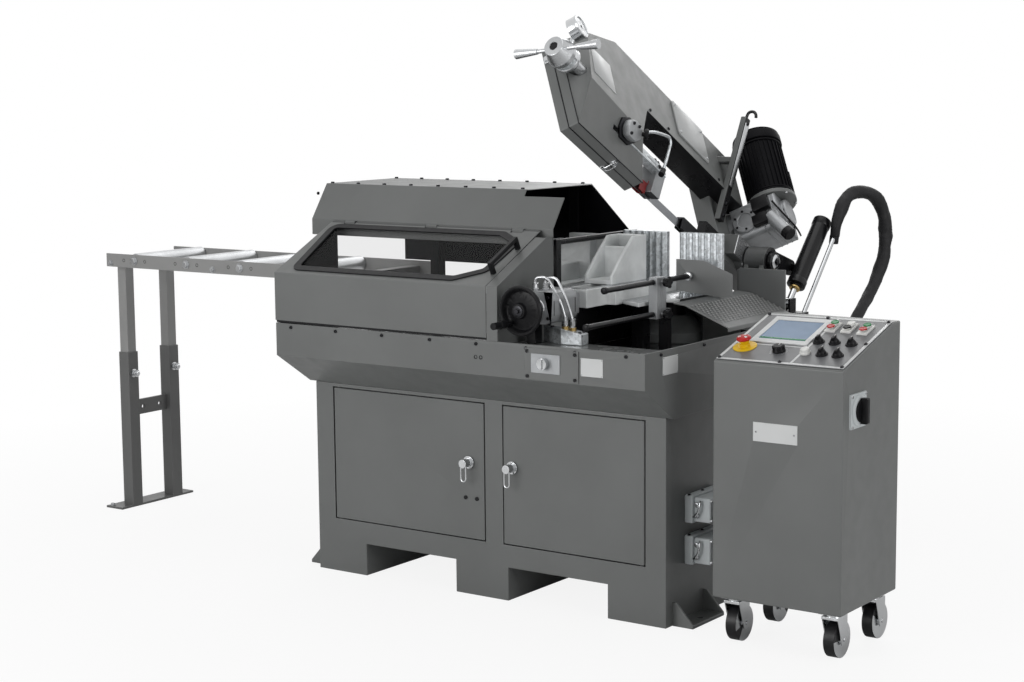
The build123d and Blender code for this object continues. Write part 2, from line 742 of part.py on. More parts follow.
clamp_y = (front - 64, front + 67)
clamp_half = (45, 47)
manifold_plan = [
    (vise_x - 33, front + 9),
    (vise_x + 53, front - 32),
    (vise_x + 119, front - 27),
    (vise_x + 117, front + 14),
    (vise_x - 27, front + 16),
]
manifold_side = [
    (vise_x - 40, ledge_z),
    (vise_x - 40, ledge_z + 45),
    (vise_x + 53, ledge_z + 45),
    (vise_x + 125, ledge_z + 31),
    (vise_x + 125, ledge_z),
]
pipe_radius = 4
fitting_radius = 8
port_z = screw_z + clamp_half[1] - 7
pipe_routes = (
    (
        (vise_x - 27, front - 40, port_z + 18),
        (vise_x - 27, front - 40, port_z + 41),
        (vise_x + 8, front - 34, port_z + 45),
        (vise_x + 46, front - 22, port_z - 20),
        (vise_x + 61, front - 18, ledge_z + 72),
    ),
    (
        (vise_x - 5, front - 20, port_z + 18),
        (vise_x - 5, front - 20, port_z + 39),
        (vise_x + 29, front - 16, port_z + 43),
        (vise_x + 63, front - 14, port_z - 22),
        (vise_x + 83, front - 14, ledge_z + 68),
    ),
)
with BuildPart() as manifold:
    prism(Plane.XY.offset(ledge_z), manifold_plan, 60)
    prism(Plane.XZ.offset(-back), manifold_side, base_depth + tray_front, Mode.INTERSECT)
with BuildPart() as vise_hydraulics:
    block_x = (vise_x - clamp_half[0], vise_x + clamp_half[0])
    block(block_x, clamp_y, (screw_z - clamp_half[1], screw_z + clamp_half[1]))
    fillet(vise_hydraulics.edges().filter_by(Axis.Y), 30)
    block((vise_x - 30, vise_x + 30), (clamp_y[1] - 1, front + 100), (screw_z - 30, screw_z + 30))
    block((vise_x - 45, vise_x - 15), (front - 60, front - 25), (ledge_z, screw_z - 30))
    rod((vise_x, clamp_y[0] - 1, screw_z), (0, 1, 0), screw_radius + running, 170, Mode.SUBTRACT)
    add(manifold.part)
    for route in pipe_routes:
        rod((route[0][0], route[0][1], port_z), (0, 0, 1), fitting_radius, 26)
        foot = (route[-1][0], route[-1][1], ledge_z + 36)
        rod(foot, (0, 0, 1), fitting_radius, route[-1][2] + 6 - foot[2])
        tube(route, pipe_radius)
save(vise_hydraulics, "vise_hydraulics")

# Outfeed: chute, guide rods and the sliding deflector
chute_left = table_right + 1
chute_y = (front + 300, front + 690)
chute_low = rim_z + 22
slide_profile = [
    (chute_left, table_z - 6),
    (chute_left + 40, table_z - 10),
    (right + tray_end + 4, chute_low),
    (right + tray_end + 4, chute_low - 12),
]
with BuildPart() as discharge_chute:
    prism(Plane.XZ.offset(-chute_y[1]), bent_sheet(slide_profile, sheet), length(chute_y))
    wall_x = (chute_left, right + 2)
    wall_back = chute_y[1] + 10
    block(wall_x, (wall_back - sheet, wall_back), (base_height + 226, base_height + 350))
    block((chute_left, chute_left + sheet), (chute_y[0] + 170, wall_back), (floor_z, table_z - 8))
    block(wall_x, (chute_y[1] - 4, wall_back), (base_height + 222, base_height + 230))
    block((right - 60, right - 40), (chute_y[1] - 24, wall_back), (floor_z, base_height + 232))
save(discharge_chute, "discharge_chute")

rod_x = blade_x + 87
lower_rod_z = base_height + 253
upper_rod_z = base_height + 346
clamp_span = (front + 225, front + 275)
with BuildPart() as guide_bracket:
    rod((rod_x, front - 130, lower_rod_z), (0, 1, 0), 8, 430)
    block((rod_x - 15, rod_x + 15), (front + 282, front + 308), (floor_z, lower_rod_z + 12))
    block((rod_x - 14, rod_x + 14), clamp_span, (lower_rod_z - 14, upper_rod_z + 14))
    rod((rod_x, clamp_span[0] - 1, upper_rod_z), (0, 1, 0), 8 + running, 52, Mode.SUBTRACT)
    for knob_level in (upper_rod_z, lower_rod_z):
        rod((rod_x + 13, middle(clamp_span), knob_level), (1, 0, 0), 5, 14)
        rod((rod_x + 25, middle(clamp_span), knob_level), (1, 0, 0), 13, 18)
save(guide_bracket, "guide_bracket")

deflector_y = front + 440
with BuildPart() as chute_guide:
    rod((rod_x, front - 37, upper_rod_z), (0, 1, 0), 8, deflector_y - front + 60)
    shape = [
        (blade_x + 38, base_height + 300),
        (blade_x + 190, base_height + 287),
        (blade_x + 228, base_height + 292),
        (blade_x + 228, base_height + 357),
        (blade_x + 130, base_height + 394),
        (blade_x + 38, base_height + 394),
    ]
    prism(Plane.XZ.offset(-deflector_y - 3), shape, 3)
    boss_z = (upper_rod_z - 16, upper_rod_z + 16)
    block((rod_x - 16, rod_x + 16), (deflector_y + 2, deflector_y + 23), boss_z)
save(chute_guide, "chute_guide")

# Pivot stand at the back of the tray, with the foot of the lift cylinder and the hose holder
tube_x = (blade_x + 60, blade_x + 132)
stand_y = (front + 715, back + tray_back - sheet - 1)
axis_foot = Vector(lift_x, foot_y, foot_z)
lift_axis = Vector(0, trunnion_y - foot_y, trunnion_z - foot_z).normalized()
with BuildPart() as pivot_stand:
    rod((tube_x[0], pivot_y, pivot_z), (1, 0, 0), 45, length(tube_x))
    block((tube_x[0], lift_x + 40), stand_y, (floor_z, floor_z + 14))
    cheek = [
        (stand_y[0] + 5, floor_z),
        (stand_y[1], floor_z),
        (stand_y[1], rim_z + 6),
        (pivot_y + 34, rim_z + 6),
        (pivot_y + 38, pivot_z),
        (pivot_y - 36, pivot_z + 10),
    ]
    for cheek_x in (tube_x[0] + 2, tube_x[1] - 16):
        prism(Plane.YZ.offset(cheek_x), cheek, 14)
    block(tube_x, (stand_y[1] - 60, stand_y[1] - 46), (floor_z, pivot_z - 20))
    bore_start = (tube_x[0] - 1, pivot_y, pivot_z)
    rod(bore_start, (1, 0, 0), shaft_radius + running, length(tube_x) + 2, Mode.SUBTRACT)
    block((tube_x[1] - 10, lift_x + 60), (foot_y - 24, foot_y + 24), (rim_z - 6, rim_z + 4))
    block((tube_x[1] - 16, tube_x[1] - 2), (foot_y - 24, pivot_y + 34), (rim_z - 6, rim_z + 8))
    for ear_x in (lift_x - 18, lift_x + 10):
        block((ear_x, ear_x + 8), (foot_y - 20, foot_y + 20), (rim_z + 3, foot_z + 18))
    rod((lift_x - 18, foot_y, foot_z), (1, 0, 0), 8, 36)
    holder = Vector(*hose_route[0])
    strut_start = Vector(holder.X, foot_y + 8, rim_z)
    strut = holder - strut_start
    rod(strut_start, strut, 7, strut.length - 12)
    rod(holder - hose_first.normalized() * 24, hose_first, hose_radius + 3, 24)
save(pivot_stand, "pivot_stand")

with BuildPart() as lift_rod:
    rod(axis_foot - Vector(9, 0, 0), (1, 0, 0), 18, 18)
    rod(axis_foot, lift_axis, 10, 205)
    rod(axis_foot - Vector(10, 0, 0), (1, 0, 0), 8 + running, 20, Mode.SUBTRACT)
save(lift_rod, "lift_rod")

trunnion = Vector(lift_x, trunnion_y, trunnion_z)
with BuildPart() as lift_cylinder:
    rod(axis_foot + lift_axis * barrel_start, lift_axis, barrel_radius, barrel_end - barrel_start)
    rod(axis_foot + lift_axis * (barrel_start - 8), lift_axis, 20, 10)
    rod(trunnion - Vector(57, 0, 0), (1, 0, 0), trunnion_pin, 50)
    rod(axis_foot + lift_axis * (barrel_start - 10), lift_axis, 10 + running, 160, Mode.SUBTRACT)
save(lift_cylinder, "lift_cylinder")

with BuildPart() as cable_hose:
    tube(hose_route, hose_radius)
save(cable_hose, "cable_hose")

# Saw arm frame: every outline follows the wheels' centres and radius
rim_half = 30
seam = 2
face_r = -85
arm_wall = 6
wheel_top = 2 * wheel_radius
nose_p = idler_p + wheel_radius
rim_p = idler_p - wheel_radius - 59
beam_q = (wheel_top - 92, wheel_top + 84)
rim_outline = [
    (rim_p, -25),
    (nose_p + 6, -25),
    (nose_p + 26, wheel_radius + 93),
    (idler_p + 47, wheel_top + 31),
    (rim_p, wheel_top + 31),
]
face_outline = [
    (idler_p - 160, wheel_radius - 65),
    (idler_p + 138, wheel_radius - 39),
    (idler_p + 99, wheel_radius + 148),
    (idler_p - 104, beam_q[1]),
    (idler_p - 344, beam_q[1]),
]
rear_p = (drive_p - wheel_radius - 21, drive_p + wheel_radius + 20)
rear_q = (-20, wheel_top + 21)
guide_q = (40, 75)
guide_r = (-62, -38)
hinge_q = wheel_top + 38
hinge_points = (idler_p - 71, idler_p + 7)
hinge_half = 16
hinge_pin = 3
idler_shaft = 15
drive_shaft = 18
tension_q = wheel_radius + 1
tension_r = -52
tension_radius = 22
blade_gap = (-15, 16)


def nose_loft(start, end, rim_inset, face_inset, mode=Mode.ADD):
    """Tapered nose between the rim outline and the smaller face outline."""
    lower = polygon(bow.offset(start), rim_outline, rim_inset)
    upper = polygon(bow.offset(end), face_outline, face_inset)
    loft((lower, upper), ruled=True, mode=mode)


lug_plane = Plane(origin=(blade_x + 57, pivot_y, pivot_z), x_dir=along, z_dir=(-1, 0, 0))
with BuildPart() as pivot_lug:
    with BuildSketch(lug_plane):
        Circle(48)
        with Locations((40, 12)):
            Rectangle(124, 66)
    extrude(amount=140)
    in_frame(bow, (-300, 400), (-300, 500), (-rim_half, 300), Mode.SUBTRACT)

with BuildPart() as saw_frame:
    nose_loft(-rim_half, face_r, 0, 0)
    prism(bow.offset(-rim_half), rim_outline, rim_half + seam)
    in_frame(bow, (-30, idler_p - 104), beam_q, (face_r, seam))
    in_frame(bow, (rear_p[1] - 15, rim_p - 7), (wheel_top - 26, wheel_top + 28), (seam - 1, 18))
    in_frame(bow, rear_p, rear_q, (-rim_half, rim_half))
    nose_loft(-rim_half + arm_wall, face_r + arm_wall + 1, arm_wall, 2 * arm_wall, Mode.SUBTRACT)
    prism(bow.offset(-rim_half + arm_wall - 1), rim_outline, rim_half + seam, Mode.SUBTRACT, arm_wall)
    beam_inside = (beam_q[0] + 8, beam_q[1] - 8)
    in_frame(bow, (-20, idler_p - 113), beam_inside, (face_r + 8, -rim_half - 2), Mode.SUBTRACT)
    rear_inside = (rear_p[0] + 5, rear_p[1] - 5)
    rear_height = (rear_q[0] + 5, rear_q[1] - 5)
    in_frame(bow, rear_inside, rear_height, (-rim_half + 5, rim_half - 4), Mode.SUBTRACT)
    upper_run = (wheel_top - 12, wheel_top + 14)
    in_frame(bow, (drive_p, idler_p), upper_run, (-wheel_half - 3, wheel_half + 1), Mode.SUBTRACT)
    for wall_p in (rear_p[1], rim_p):
        in_frame(bow, (wall_p - 8, wall_p + 8), blade_gap, (-17, 17), Mode.SUBTRACT)
    hub_q = (wheel_radius - 30, wheel_radius + 30)
    in_frame(bow, (idler_p - 30, idler_p + 30), hub_q, (face_r + 5, -20))
    slide_q = (wheel_radius - 14, wheel_radius + 14)
    in_frame(bow, (idler_p - 60, idler_p + 130), slide_q, (face_r + 5, -60))
    rod(bow_point(idler_p, wheel_radius, -62), outward, idler_shaft + running, 50, Mode.SUBTRACT)
    rod(bow_point(drive_p, wheel_radius, -31), outward, drive_shaft + 8, 8, Mode.SUBTRACT)
    tension_start = bow_point(nose_p - 55, tension_q, tension_r)
    rod(tension_start, along, tension_radius + running, 120, Mode.SUBTRACT)
    slot_q = (guide_q[0] - running, guide_q[1] + running)
    slot_r = (guide_r[0] - running, guide_r[1] + running)
    in_frame(bow, (rim_p - 7, idler_p - 11), slot_q, slot_r, Mode.SUBTRACT)
    for hinge_p in hinge_points:
        for lug_p in (hinge_p - hinge_half - 11, hinge_p + hinge_half + 1):
            in_frame(bow, (lug_p, lug_p + 10), (hinge_q - 12, hinge_q + 4), (-14, seam - 0.5))
            in_frame(bow, (lug_p, lug_p + 10), (hinge_q - 6, hinge_q + 4), (-14, seam + 4))
        rod(bow_point(hinge_p - hinge_half - 10, hinge_q, seam), along, hinge_pin, 2 * hinge_half + 20)
    add(pivot_lug.part)
    rod((blade_x + 58, pivot_y, pivot_z), (-1, 0, 0), shaft_radius + running, 34, Mode.SUBTRACT)
    rod((blade_x + 27, pivot_y, pivot_z), (1, 0, 0), shaft_radius, 124)
    lever_x = blade_x + 134
    with BuildSketch(Plane.YZ.offset(lever_x)):
        with Locations((pivot_y, pivot_z)):
            Circle(shaft_radius + 12)
        with Locations((trunnion_y, trunnion_z)):
            Circle(25)
        make_hull()
        with Locations((trunnion_y, trunnion_z)):
            Circle(trunnion_pin + eye_gap, mode=Mode.SUBTRACT)
    extrude(amount=14)
    in_frame(cut, (rear_p[1], rear_p[1] + 120), (22, 70), (-14, 14))
    in_frame(cut, (rear_p[1] + 90, rear_p[1] + 250), (-14, 23), (-12, 12))
    in_frame(cut, (rear_p[1] + 89, rear_p[1] + 251), blade_gap, (-8, 8), Mode.SUBTRACT)
    corner_height = beam_q[0] * cos(tilt) - face_r * sin(tilt)
    corner_depth = beam_q[0] * sin(tilt) + face_r * cos(tilt)
    bar_height = (corner_height - 103, corner_height + 255)
    in_frame(cut, (85, 115), bar_height, (corner_depth - 12, corner_depth + 8))
    strut_height = (corner_height + 95, corner_height + 115)
    in_frame(cut, (90, 110), strut_height, (corner_depth + 7, corner_depth + 62))
save(saw_frame, "saw_frame")

with BuildPart() as wheel_cover:
    prism(bow.offset(seam + 0.5), rim_outline, rim_half - seam - 0.5)
    prism(bow.offset(seam), rim_outline, rim_half - seam - 3, Mode.SUBTRACT, 3)
    for notch_q in (blade_gap, (wheel_top - 16, wheel_top + 17)):
        in_frame(bow, (rim_p - 7, rim_p + 13), notch_q, (seam, 18), Mode.SUBTRACT)
    for hinge_p in hinge_points:
        knuckle = (hinge_p - hinge_half, hinge_p + hinge_half)
        in_frame(bow, knuckle, (hinge_q - 10, hinge_q), (seam + 1, seam + 7))
        rod(bow_point(knuckle[0], hinge_q, seam), along, hinge_pin + 3, 2 * hinge_half)
        pin_hole = bow_point(knuckle[0] - 1, hinge_q, seam)
        rod(pin_hole, along, hinge_pin + running, 2 * hinge_half + 2, Mode.SUBTRACT)
save(wheel_cover, "wheel_cover")


def band_wheel(center_p, shaft, shaft_end):
    with BuildPart() as piece:
        rod(bow_point(center_p, wheel_radius, -wheel_half), outward, wheel_radius, 2 * wheel_half)
        for start in (-wheel_half - 1, wheel_half - 8):
            rod(bow_point(center_p, wheel_radius, start), outward, wheel_radius - 20, 9, Mode.SUBTRACT)
        rod(bow_point(center_p, wheel_radius, -wheel_half), outward, 34, 2 * wheel_half)
        rod(bow_point(center_p, wheel_radius, shaft_end), outward, shaft, -shaft_end)
        hole_ring = wheel_radius - 71
        for turn in range(0, 360, 60):
            hole_p = center_p + hole_ring * cos(radians(turn))
            hole_q = wheel_radius + hole_ring * sin(radians(turn))
            rod(bow_point(hole_p, hole_q, -wheel_half), outward, 26, 2 * wheel_half, Mode.SUBTRACT)
    return piece


save(band_wheel(idler_p, idler_shaft, -58), "idler_wheel")
save(band_wheel(drive_p, drive_shaft, -62), "drive_wheel")

# Blade loop: two half turns, the upper run, and a lower run twisted square to the work
blade_in = wheel_radius + 0.1
blade_out = blade_in + blade_thick
full_twist = 90 - bow_tilt
twist_sections = (
    (idler_p, 0),
    (idler_p - 40, 0),
    (idler_p - 83, full_twist * 0.2),
    (idler_p - 143, full_twist * 0.5),
    (idler_p - 203, full_twist * 0.75),
    (idler_p - 263, full_twist),
    (drive_p + 402, full_twist),
    (drive_p + 322, full_twist * 0.75),
    (drive_p + 232, full_twist * 0.5),
    (drive_p + 122, full_twist * 0.2),
    (drive_p + 50, 0),
    (drive_p, 0),
)
with BuildPart() as saw_blade:
    for center_p, first in ((idler_p, -90), (drive_p, 90)):
        with BuildSketch(bow.offset(-blade_width / 2)):
            with Locations((center_p, wheel_radius)):
                Circle(blade_out)
                Circle(blade_in, mode=Mode.SUBTRACT)
            side = 1 if first < 0 else -1
            with Locations((center_p - side * 200, wheel_radius)):
                Rectangle(400, 400, mode=Mode.SUBTRACT)
        extrude(amount=blade_width)
    top_q = (wheel_radius + blade_in, wheel_radius + blade_out)
    in_frame(bow, (drive_p, idler_p), top_q, (-blade_width / 2, blade_width / 2))
    run_q = wheel_radius - blade_in - blade_thick / 2
    for (start_p, start_turn), (end_p, end_turn) in zip(twist_sections, twist_sections[1:]):
        sections = []
        for section_p, turn in ((start_p, start_turn), (end_p, end_turn)):
            plane = Plane(origin=bow_point(section_p, run_q, 0), x_dir=across, z_dir=along)
            with BuildSketch(plane) as section:
                Rectangle(blade_thick, blade_width, rotation=turn)
            sections.append(section.sketch)
        loft(sections, ruled=True)
save(saw_blade, "saw_blade")

# Adjustable blade guide
with BuildPart() as guide_arm:
    in_frame(bow, (rim_p - 115, idler_p - 43), guide_q, guide_r)
    in_frame(cut, (rim_p - 119, rim_p - 67), (-5, 78), (-30, 22))
    in_frame(cut, (rim_p - 63, rim_p - 27), (-13, 20), (-13, 13))
    in_frame(cut, (rim_p - 69, rim_p - 61), (16, 30), (-13, 13))
    in_frame(cut, (rim_p - 127, rim_p - 25), (-14, 16.5), (-2, 2), Mode.SUBTRACT)
    in_frame(cut, (rim_p - 61, rim_p - 25), (-14, 16.5), (-10, 10), Mode.SUBTRACT)
save(guide_arm, "guide_arm")

# Blade tension unit with gauge, and its turning handle
collar_p = nose_p + 40
gauge_p = nose_p + 54
gauge_q = tension_q + 79
gauge_r = tension_r - 47
gauge_radius = 33
gauge_half = 14
spindle_radius = 10
hub_p = nose_p + 72.3
hub_radius = 42
hub_end = 29
spoke_p = hub_p + 34
with BuildPart() as tension_unit:
    rod(bow_point(nose_p - 40, tension_q, tension_r), along, tension_radius, 112)
    rod(bow_point(collar_p, tension_q, tension_r), along, tension_radius + 14, 28)
    gauge_centre = bow_point(gauge_p, gauge_q, gauge_r)
    stem_foot = bow_point(gauge_p, tension_q, tension_r)
    stem = (gauge_centre - stem_foot).normalized()
    rod(stem_foot + stem * 22, stem, 7, 46)
    rod(gauge_centre + outward * gauge_half, -outward, gauge_radius, 2 * gauge_half)
    rod(bow_point(nose_p - 27, tension_q, tension_r), along, spindle_radius + running, 110, Mode.SUBTRACT)
save(tension_unit, "tension_unit")

with BuildPart() as tension_handle:
    rod(bow_point(nose_p - 10, tension_q, tension_r), along, spindle_radius, 90)
    rod(bow_point(hub_p, tension_q, tension_r), along, hub_radius, 14)
    with Locations(Plane(origin=bow_point(hub_p + 13, tension_q, tension_r), z_dir=along)):
        Cone(hub_radius, hub_end, 40, align=(Align.CENTER, Align.CENTER, Align.MIN))
    rod(bow_point(hub_p + 45, tension_q, tension_r), along, 12, 10, Mode.SUBTRACT)
    for turn in (22, 202):
        spoke = across * sin(radians(turn)) + outward * cos(radians(turn))
        spoke_foot = bow_point(spoke_p, tension_q, tension_r)
        rod(spoke_foot + spoke * 20, spoke, 6, 50)
        with Locations(Plane(origin=spoke_foot + spoke * 62, z_dir=spoke)):
            Cone(8, 14, 70, align=(Align.CENTER, Align.CENTER, Align.MIN))
save(tension_handle, "tension_handle")

# Gearbox and motor
motor_r = -170
gear_half = 70
gear_top = 50
motor_radius = 72
with BuildPart() as gearbox:
    rod(bow_point(drive_p, wheel_radius, -rim_half), -outward, 72, 20)
    case_p = (drive_p - gear_half, drive_p + gear_half)
    case_q = (wheel_radius - gear_half, wheel_radius + gear_top)
    in_frame(bow, case_p, case_q, (-205, -rim_half - 18))
    rod(bow_point(drive_p, wheel_radius, -204), -outward, 45, 16)
    rod(bow_point(drive_p, wheel_radius, -66), outward, drive_shaft + running, 40, Mode.SUBTRACT)
save(gearbox, "gearbox")

with BuildPart() as drive_motor:
    motor_start = wheel_radius + gear_top
    rod(bow_point(drive_p, motor_start, motor_r), across, motor_radius + 8, 14)
    rod(bow_point(drive_p, motor_start + 13, motor_r), across, motor_radius, 210)
    rod(bow_point(drive_p, motor_start + 220, motor_r), across, motor_radius + 5, 40)
    box_p = (drive_p - motor_radius - 40, drive_p - motor_radius + 14)
    box_q = (motor_start + 80, motor_start + 170)
    in_frame(bow, box_p, box_q, (motor_r - 48, motor_r + 48))
save(drive_motor, "drive_motor")

# Control pendant
pendant_right = pendant_left + pendant_width
slope_end = pendant_back - 34
pendant_rise = atan2(pendant_back_top - pendant_front_top, slope_end - pendant_front)
panel_plane = Plane(
    origin=(pendant_left, pendant_front, pendant_front_top),
    x_dir=(1, 0, 0),
    z_dir=(0, -sin(pendant_rise), cos(pendant_rise)),
)
panel_length = hypot(slope_end - pendant_front, pendant_back_top - pendant_front_top)
panel_thick = 3
front_casters = ((pendant_left + 45, pendant_front + 50), (pendant_right - 45, pendant_front + 50))
rear_casters = ((pendant_left + 40, pendant_back - 70), (pendant_right - 40, pendant_back - 70))
caster_trail = 22
wheel_width = 32
switch_y = pendant_front + 80
switch_z = pendant_front_top - 112
badge_z = pendant_front_top - 181


pendant_outline = [
    (pendant_front, pendant_bottom),
    (pendant_front, pendant_front_top),
    (slope_end, pendant_back_top),
    (pendant_back, pendant_back_top),
    (pendant_back, pendant_bottom),
]


def caster_fork(x, y, top):
    """Fork hanging from a plate; the wheel trails behind the fork's own axis."""
    wheel_y = y + caster_trail
    block((x - 30, x + 30), (y - 30, y + 30), (top - 6, top))
    rod((x, y, top - 14), (0, 0, 1), 22, 10)
    block((x - 24, x + 24), (y - 24, wheel_y + 14), (top - 20, top - 12))
    plate = [
        (y - 22, top - 16),
        (wheel_y + 14, top - 16),
        (wheel_y + 14, caster_radius - 14),
        (wheel_y - 14, caster_radius - 14),
    ]
    for plate_x in (x - 24, x + 20):
        prism(Plane.YZ.offset(plate_x), plate, 4)
    rod((x - 26, wheel_y, caster_radius), (1, 0, 0), 6, 52)


with BuildPart() as pendant_cabinet:
    prism(Plane.YZ.offset(pendant_left), pendant_outline, pendant_width)
    inner_width = pendant_width - 2 * sheet
    prism(Plane.YZ.offset(pendant_left + sheet), pendant_outline, inner_width, Mode.SUBTRACT, sheet)
    for route in (upper_route, lower_route):
        cable_end = Vector(*route[-1])
        direction = (cable_end - Vector(*route[-2])).normalized()
        rod(cable_end, direction, cable_radius + 5, 26)
        rod(cable_end + direction * 12, direction, cable_radius - 1, 30, Mode.SUBTRACT)
    badge_x = (pendant_left + 122, pendant_left + 252)
    block(badge_x, (pendant_front - 2, pendant_front), (badge_z - 25, badge_z + 26))
    switch_plate_y = (switch_y - 46, switch_y + 46)
    block((pendant_right, pendant_right + 6), switch_plate_y, (switch_z - 46, switch_z + 46))
    rod((pendant_right - 20, switch_y, switch_z), (1, 0, 0), 6 + running, 30, Mode.SUBTRACT)
    for x, y in front_casters:
        rod((x, y, pendant_bottom - 1), (0, 0, 1), 6 + running, 20, Mode.SUBTRACT)
    for x, y in rear_casters:
        caster_fork(x, y, pendant_bottom)
save(pendant_cabinet, "pendant_cabinet")


def front_fork(x, y):
    with BuildPart() as piece:
        caster_fork(x, y, pendant_bottom - 0.3)
        rod((x, y, pendant_bottom - 2), (0, 0, 1), 6, 16)
    return piece


def caster_wheel(x, y):
    wheel_y = y + caster_trail
    rod((x - wheel_width / 2, wheel_y, caster_radius), (1, 0, 0), caster_radius, wheel_width)
    rod((x - 19.5, wheel_y, caster_radius), (1, 0, 0), 14, 39)
    rod((x - 20, wheel_y, caster_radius), (1, 0, 0), 6 + running, 40, Mode.SUBTRACT)


for name, (x, y) in zip(("left", "right"), front_casters):
    save(front_fork(x, y), "front_" + name + "_fork")
    with BuildPart() as front_wheel:
        caster_wheel(x, y)
    save(front_wheel, "front_" + name + "_wheel")

with BuildPart() as rear_wheels:
    for x, y in rear_casters:
        caster_wheel(x, y)
save(rear_wheels, "rear_wheels")

with BuildPart() as socket_cables:
    tube(upper_route, cable_radius)
    tube(lower_route, cable_radius)
save(socket_cables, "socket_cables")

# Control panel and its controls, placed by distance from the panel's left and front edges
estop_at = (49, 91)
speed_at = (156, 81)
screen_x = (44, 216)
screen_s = (124, 294)
lamp_at = (233, 82)
selectors_at = ((237, 155), (283, 156), (332, 155), (281, 81), (327, 81))
twins_at = ((235, 250), (282, 252), (331, 247))
stem_radius = 5
estop_travel = 5
button_travel = 3


def on_panel(at, height):
    return panel_plane.from_local_coords(Vector(at[0], at[1], height))


panel_up = panel_plane.z_dir
with BuildPart() as control_panel:
    in_frame(panel_plane, (5, pendant_width - 5), (8, panel_length - 8), (0, panel_thick))
    in_frame(panel_plane, screen_x, screen_s, (panel_thick, panel_thick + 4))
    inner_x = (screen_x[0] + 16, screen_x[1] - 16)
    inner_s = (screen_s[0] + 22, screen_s[1] - 22)
    in_frame(panel_plane, inner_x, inner_s, (panel_thick + 2, panel_thick + 5), Mode.SUBTRACT)
    rod(on_panel(lamp_at, panel_thick), panel_up, 15, 5)
    rod(on_panel(lamp_at, panel_thick), panel_up, 10, 14)
    rod(on_panel(estop_at, panel_thick), panel_up, 32, 2)
    rod(on_panel(estop_at, panel_thick), panel_up, 15, 10)
    for at in selectors_at:
        rod(on_panel(at, panel_thick), panel_up, 15, 4)
    for at in twins_at:
        frame_s = (at[1] - 30, at[1] + 30)
        in_frame(panel_plane, (at[0] - 15, at[0] + 15), frame_s, (panel_thick, panel_thick + 5))
    for at in (estop_at, speed_at) + selectors_at + twins_at:
        rod(on_panel(at, -0.5), panel_up, stem_radius + running, 16, Mode.SUBTRACT)
save(control_panel, "control_panel")

with BuildPart() as estop_button:
    rod(on_panel(estop_at, panel_thick + estop_travel), panel_up, stem_radius, 20)
    rod(on_panel(estop_at, 19), panel_up, 14, 6)
    rod(on_panel(estop_at, 24), panel_up, 20, 12)
save(estop_button, "estop_button")

with BuildPart() as speed_knob:
    rod(on_panel(speed_at, 0.3), panel_up, stem_radius, 8)
    rod(on_panel(speed_at, panel_thick + 0.3), panel_up, 18, 18)
    mark_x = (speed_at[0] - 2, speed_at[0] + 2)
    mark_s = (speed_at[1] - 2, speed_at[1] + 16)
    in_frame(panel_plane, mark_x, mark_s, (panel_thick + 17, panel_thick + 21))
save(speed_knob, "speed_knob")


def selector(at):
    with BuildPart() as piece:
        rod(on_panel(at, 0.3), panel_up, stem_radius, 10)
        rod(on_panel(at, panel_thick + 4.3), panel_up, 11, 6)
        bar_s = (at[1] - 12, at[1] + 12)
        in_frame(panel_plane, (at[0] - 4, at[0] + 4), bar_s, (panel_thick + 8, panel_thick + 20))
    return piece


for number, at in enumerate(selectors_at, 1):
    save(selector(at), "selector_" + str(number))


def twin_button(at):
    with BuildPart() as piece:
        rod(on_panel(at, button_travel + 0.3), panel_up, stem_radius, 11)
        cap_s = (at[1] - 26, at[1] + 26)
        in_frame(panel_plane, (at[0] - 11, at[0] + 11), cap_s, (panel_thick + 10, panel_thick + 15))
    return piece


for number, at in enumerate(twins_at, 1):
    save(twin_button(at), "twin_button_" + str(number))

with BuildPart() as main_switch:
    rod((pendant_right - 10, switch_y, switch_z), (1, 0, 0), 6, 20)
    rod((pendant_right + 6.3, switch_y, switch_z), (1, 0, 0), 30, 10)
    lever_y = (switch_y - 9, switch_y + 9)
    block((pendant_right + 14, pendant_right + 34), lever_y, (switch_z - 34, switch_z + 34))
save(main_switch, "main_switch")
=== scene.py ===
"""Looks of the band saw: finishes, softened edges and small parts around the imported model.

Sizes are in millimetres and are turned into metres where a mesh is made; cord routes are in metres.
"""
import json
import random
from itertools import product
from math import atan2, cos, pi, radians, sin

import bmesh
import bpy
from mathutils import Matrix, Vector

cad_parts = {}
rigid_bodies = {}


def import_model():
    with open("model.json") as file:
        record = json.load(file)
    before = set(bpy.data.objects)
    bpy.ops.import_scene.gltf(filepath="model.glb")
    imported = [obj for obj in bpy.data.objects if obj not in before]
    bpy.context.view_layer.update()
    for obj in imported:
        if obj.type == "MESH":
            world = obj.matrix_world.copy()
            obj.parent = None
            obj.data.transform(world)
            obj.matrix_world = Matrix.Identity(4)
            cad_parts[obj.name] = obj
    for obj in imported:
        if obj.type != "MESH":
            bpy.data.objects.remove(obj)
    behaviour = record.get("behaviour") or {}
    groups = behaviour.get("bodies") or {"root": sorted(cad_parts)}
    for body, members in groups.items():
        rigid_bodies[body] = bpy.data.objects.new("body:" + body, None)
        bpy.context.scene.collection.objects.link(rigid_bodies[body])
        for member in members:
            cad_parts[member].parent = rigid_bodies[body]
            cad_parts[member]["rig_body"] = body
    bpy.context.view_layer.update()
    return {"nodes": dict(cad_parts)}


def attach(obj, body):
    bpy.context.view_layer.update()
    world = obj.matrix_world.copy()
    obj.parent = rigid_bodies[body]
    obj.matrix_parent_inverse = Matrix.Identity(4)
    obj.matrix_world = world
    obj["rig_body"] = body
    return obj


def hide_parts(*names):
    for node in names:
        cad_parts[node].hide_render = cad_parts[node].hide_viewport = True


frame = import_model()
scene = bpy.context.scene
MM = 0.001
WHITE_LIGHT = (1, 1, 1, 1)

RIGHT = (1, 0, 0)
LEFT = (-1, 0, 0)
NEAR = (0, -1, 0)
FAR = (0, 1, 0)
UP = (0, 0, 1)
DOWN = (0, 0, -1)

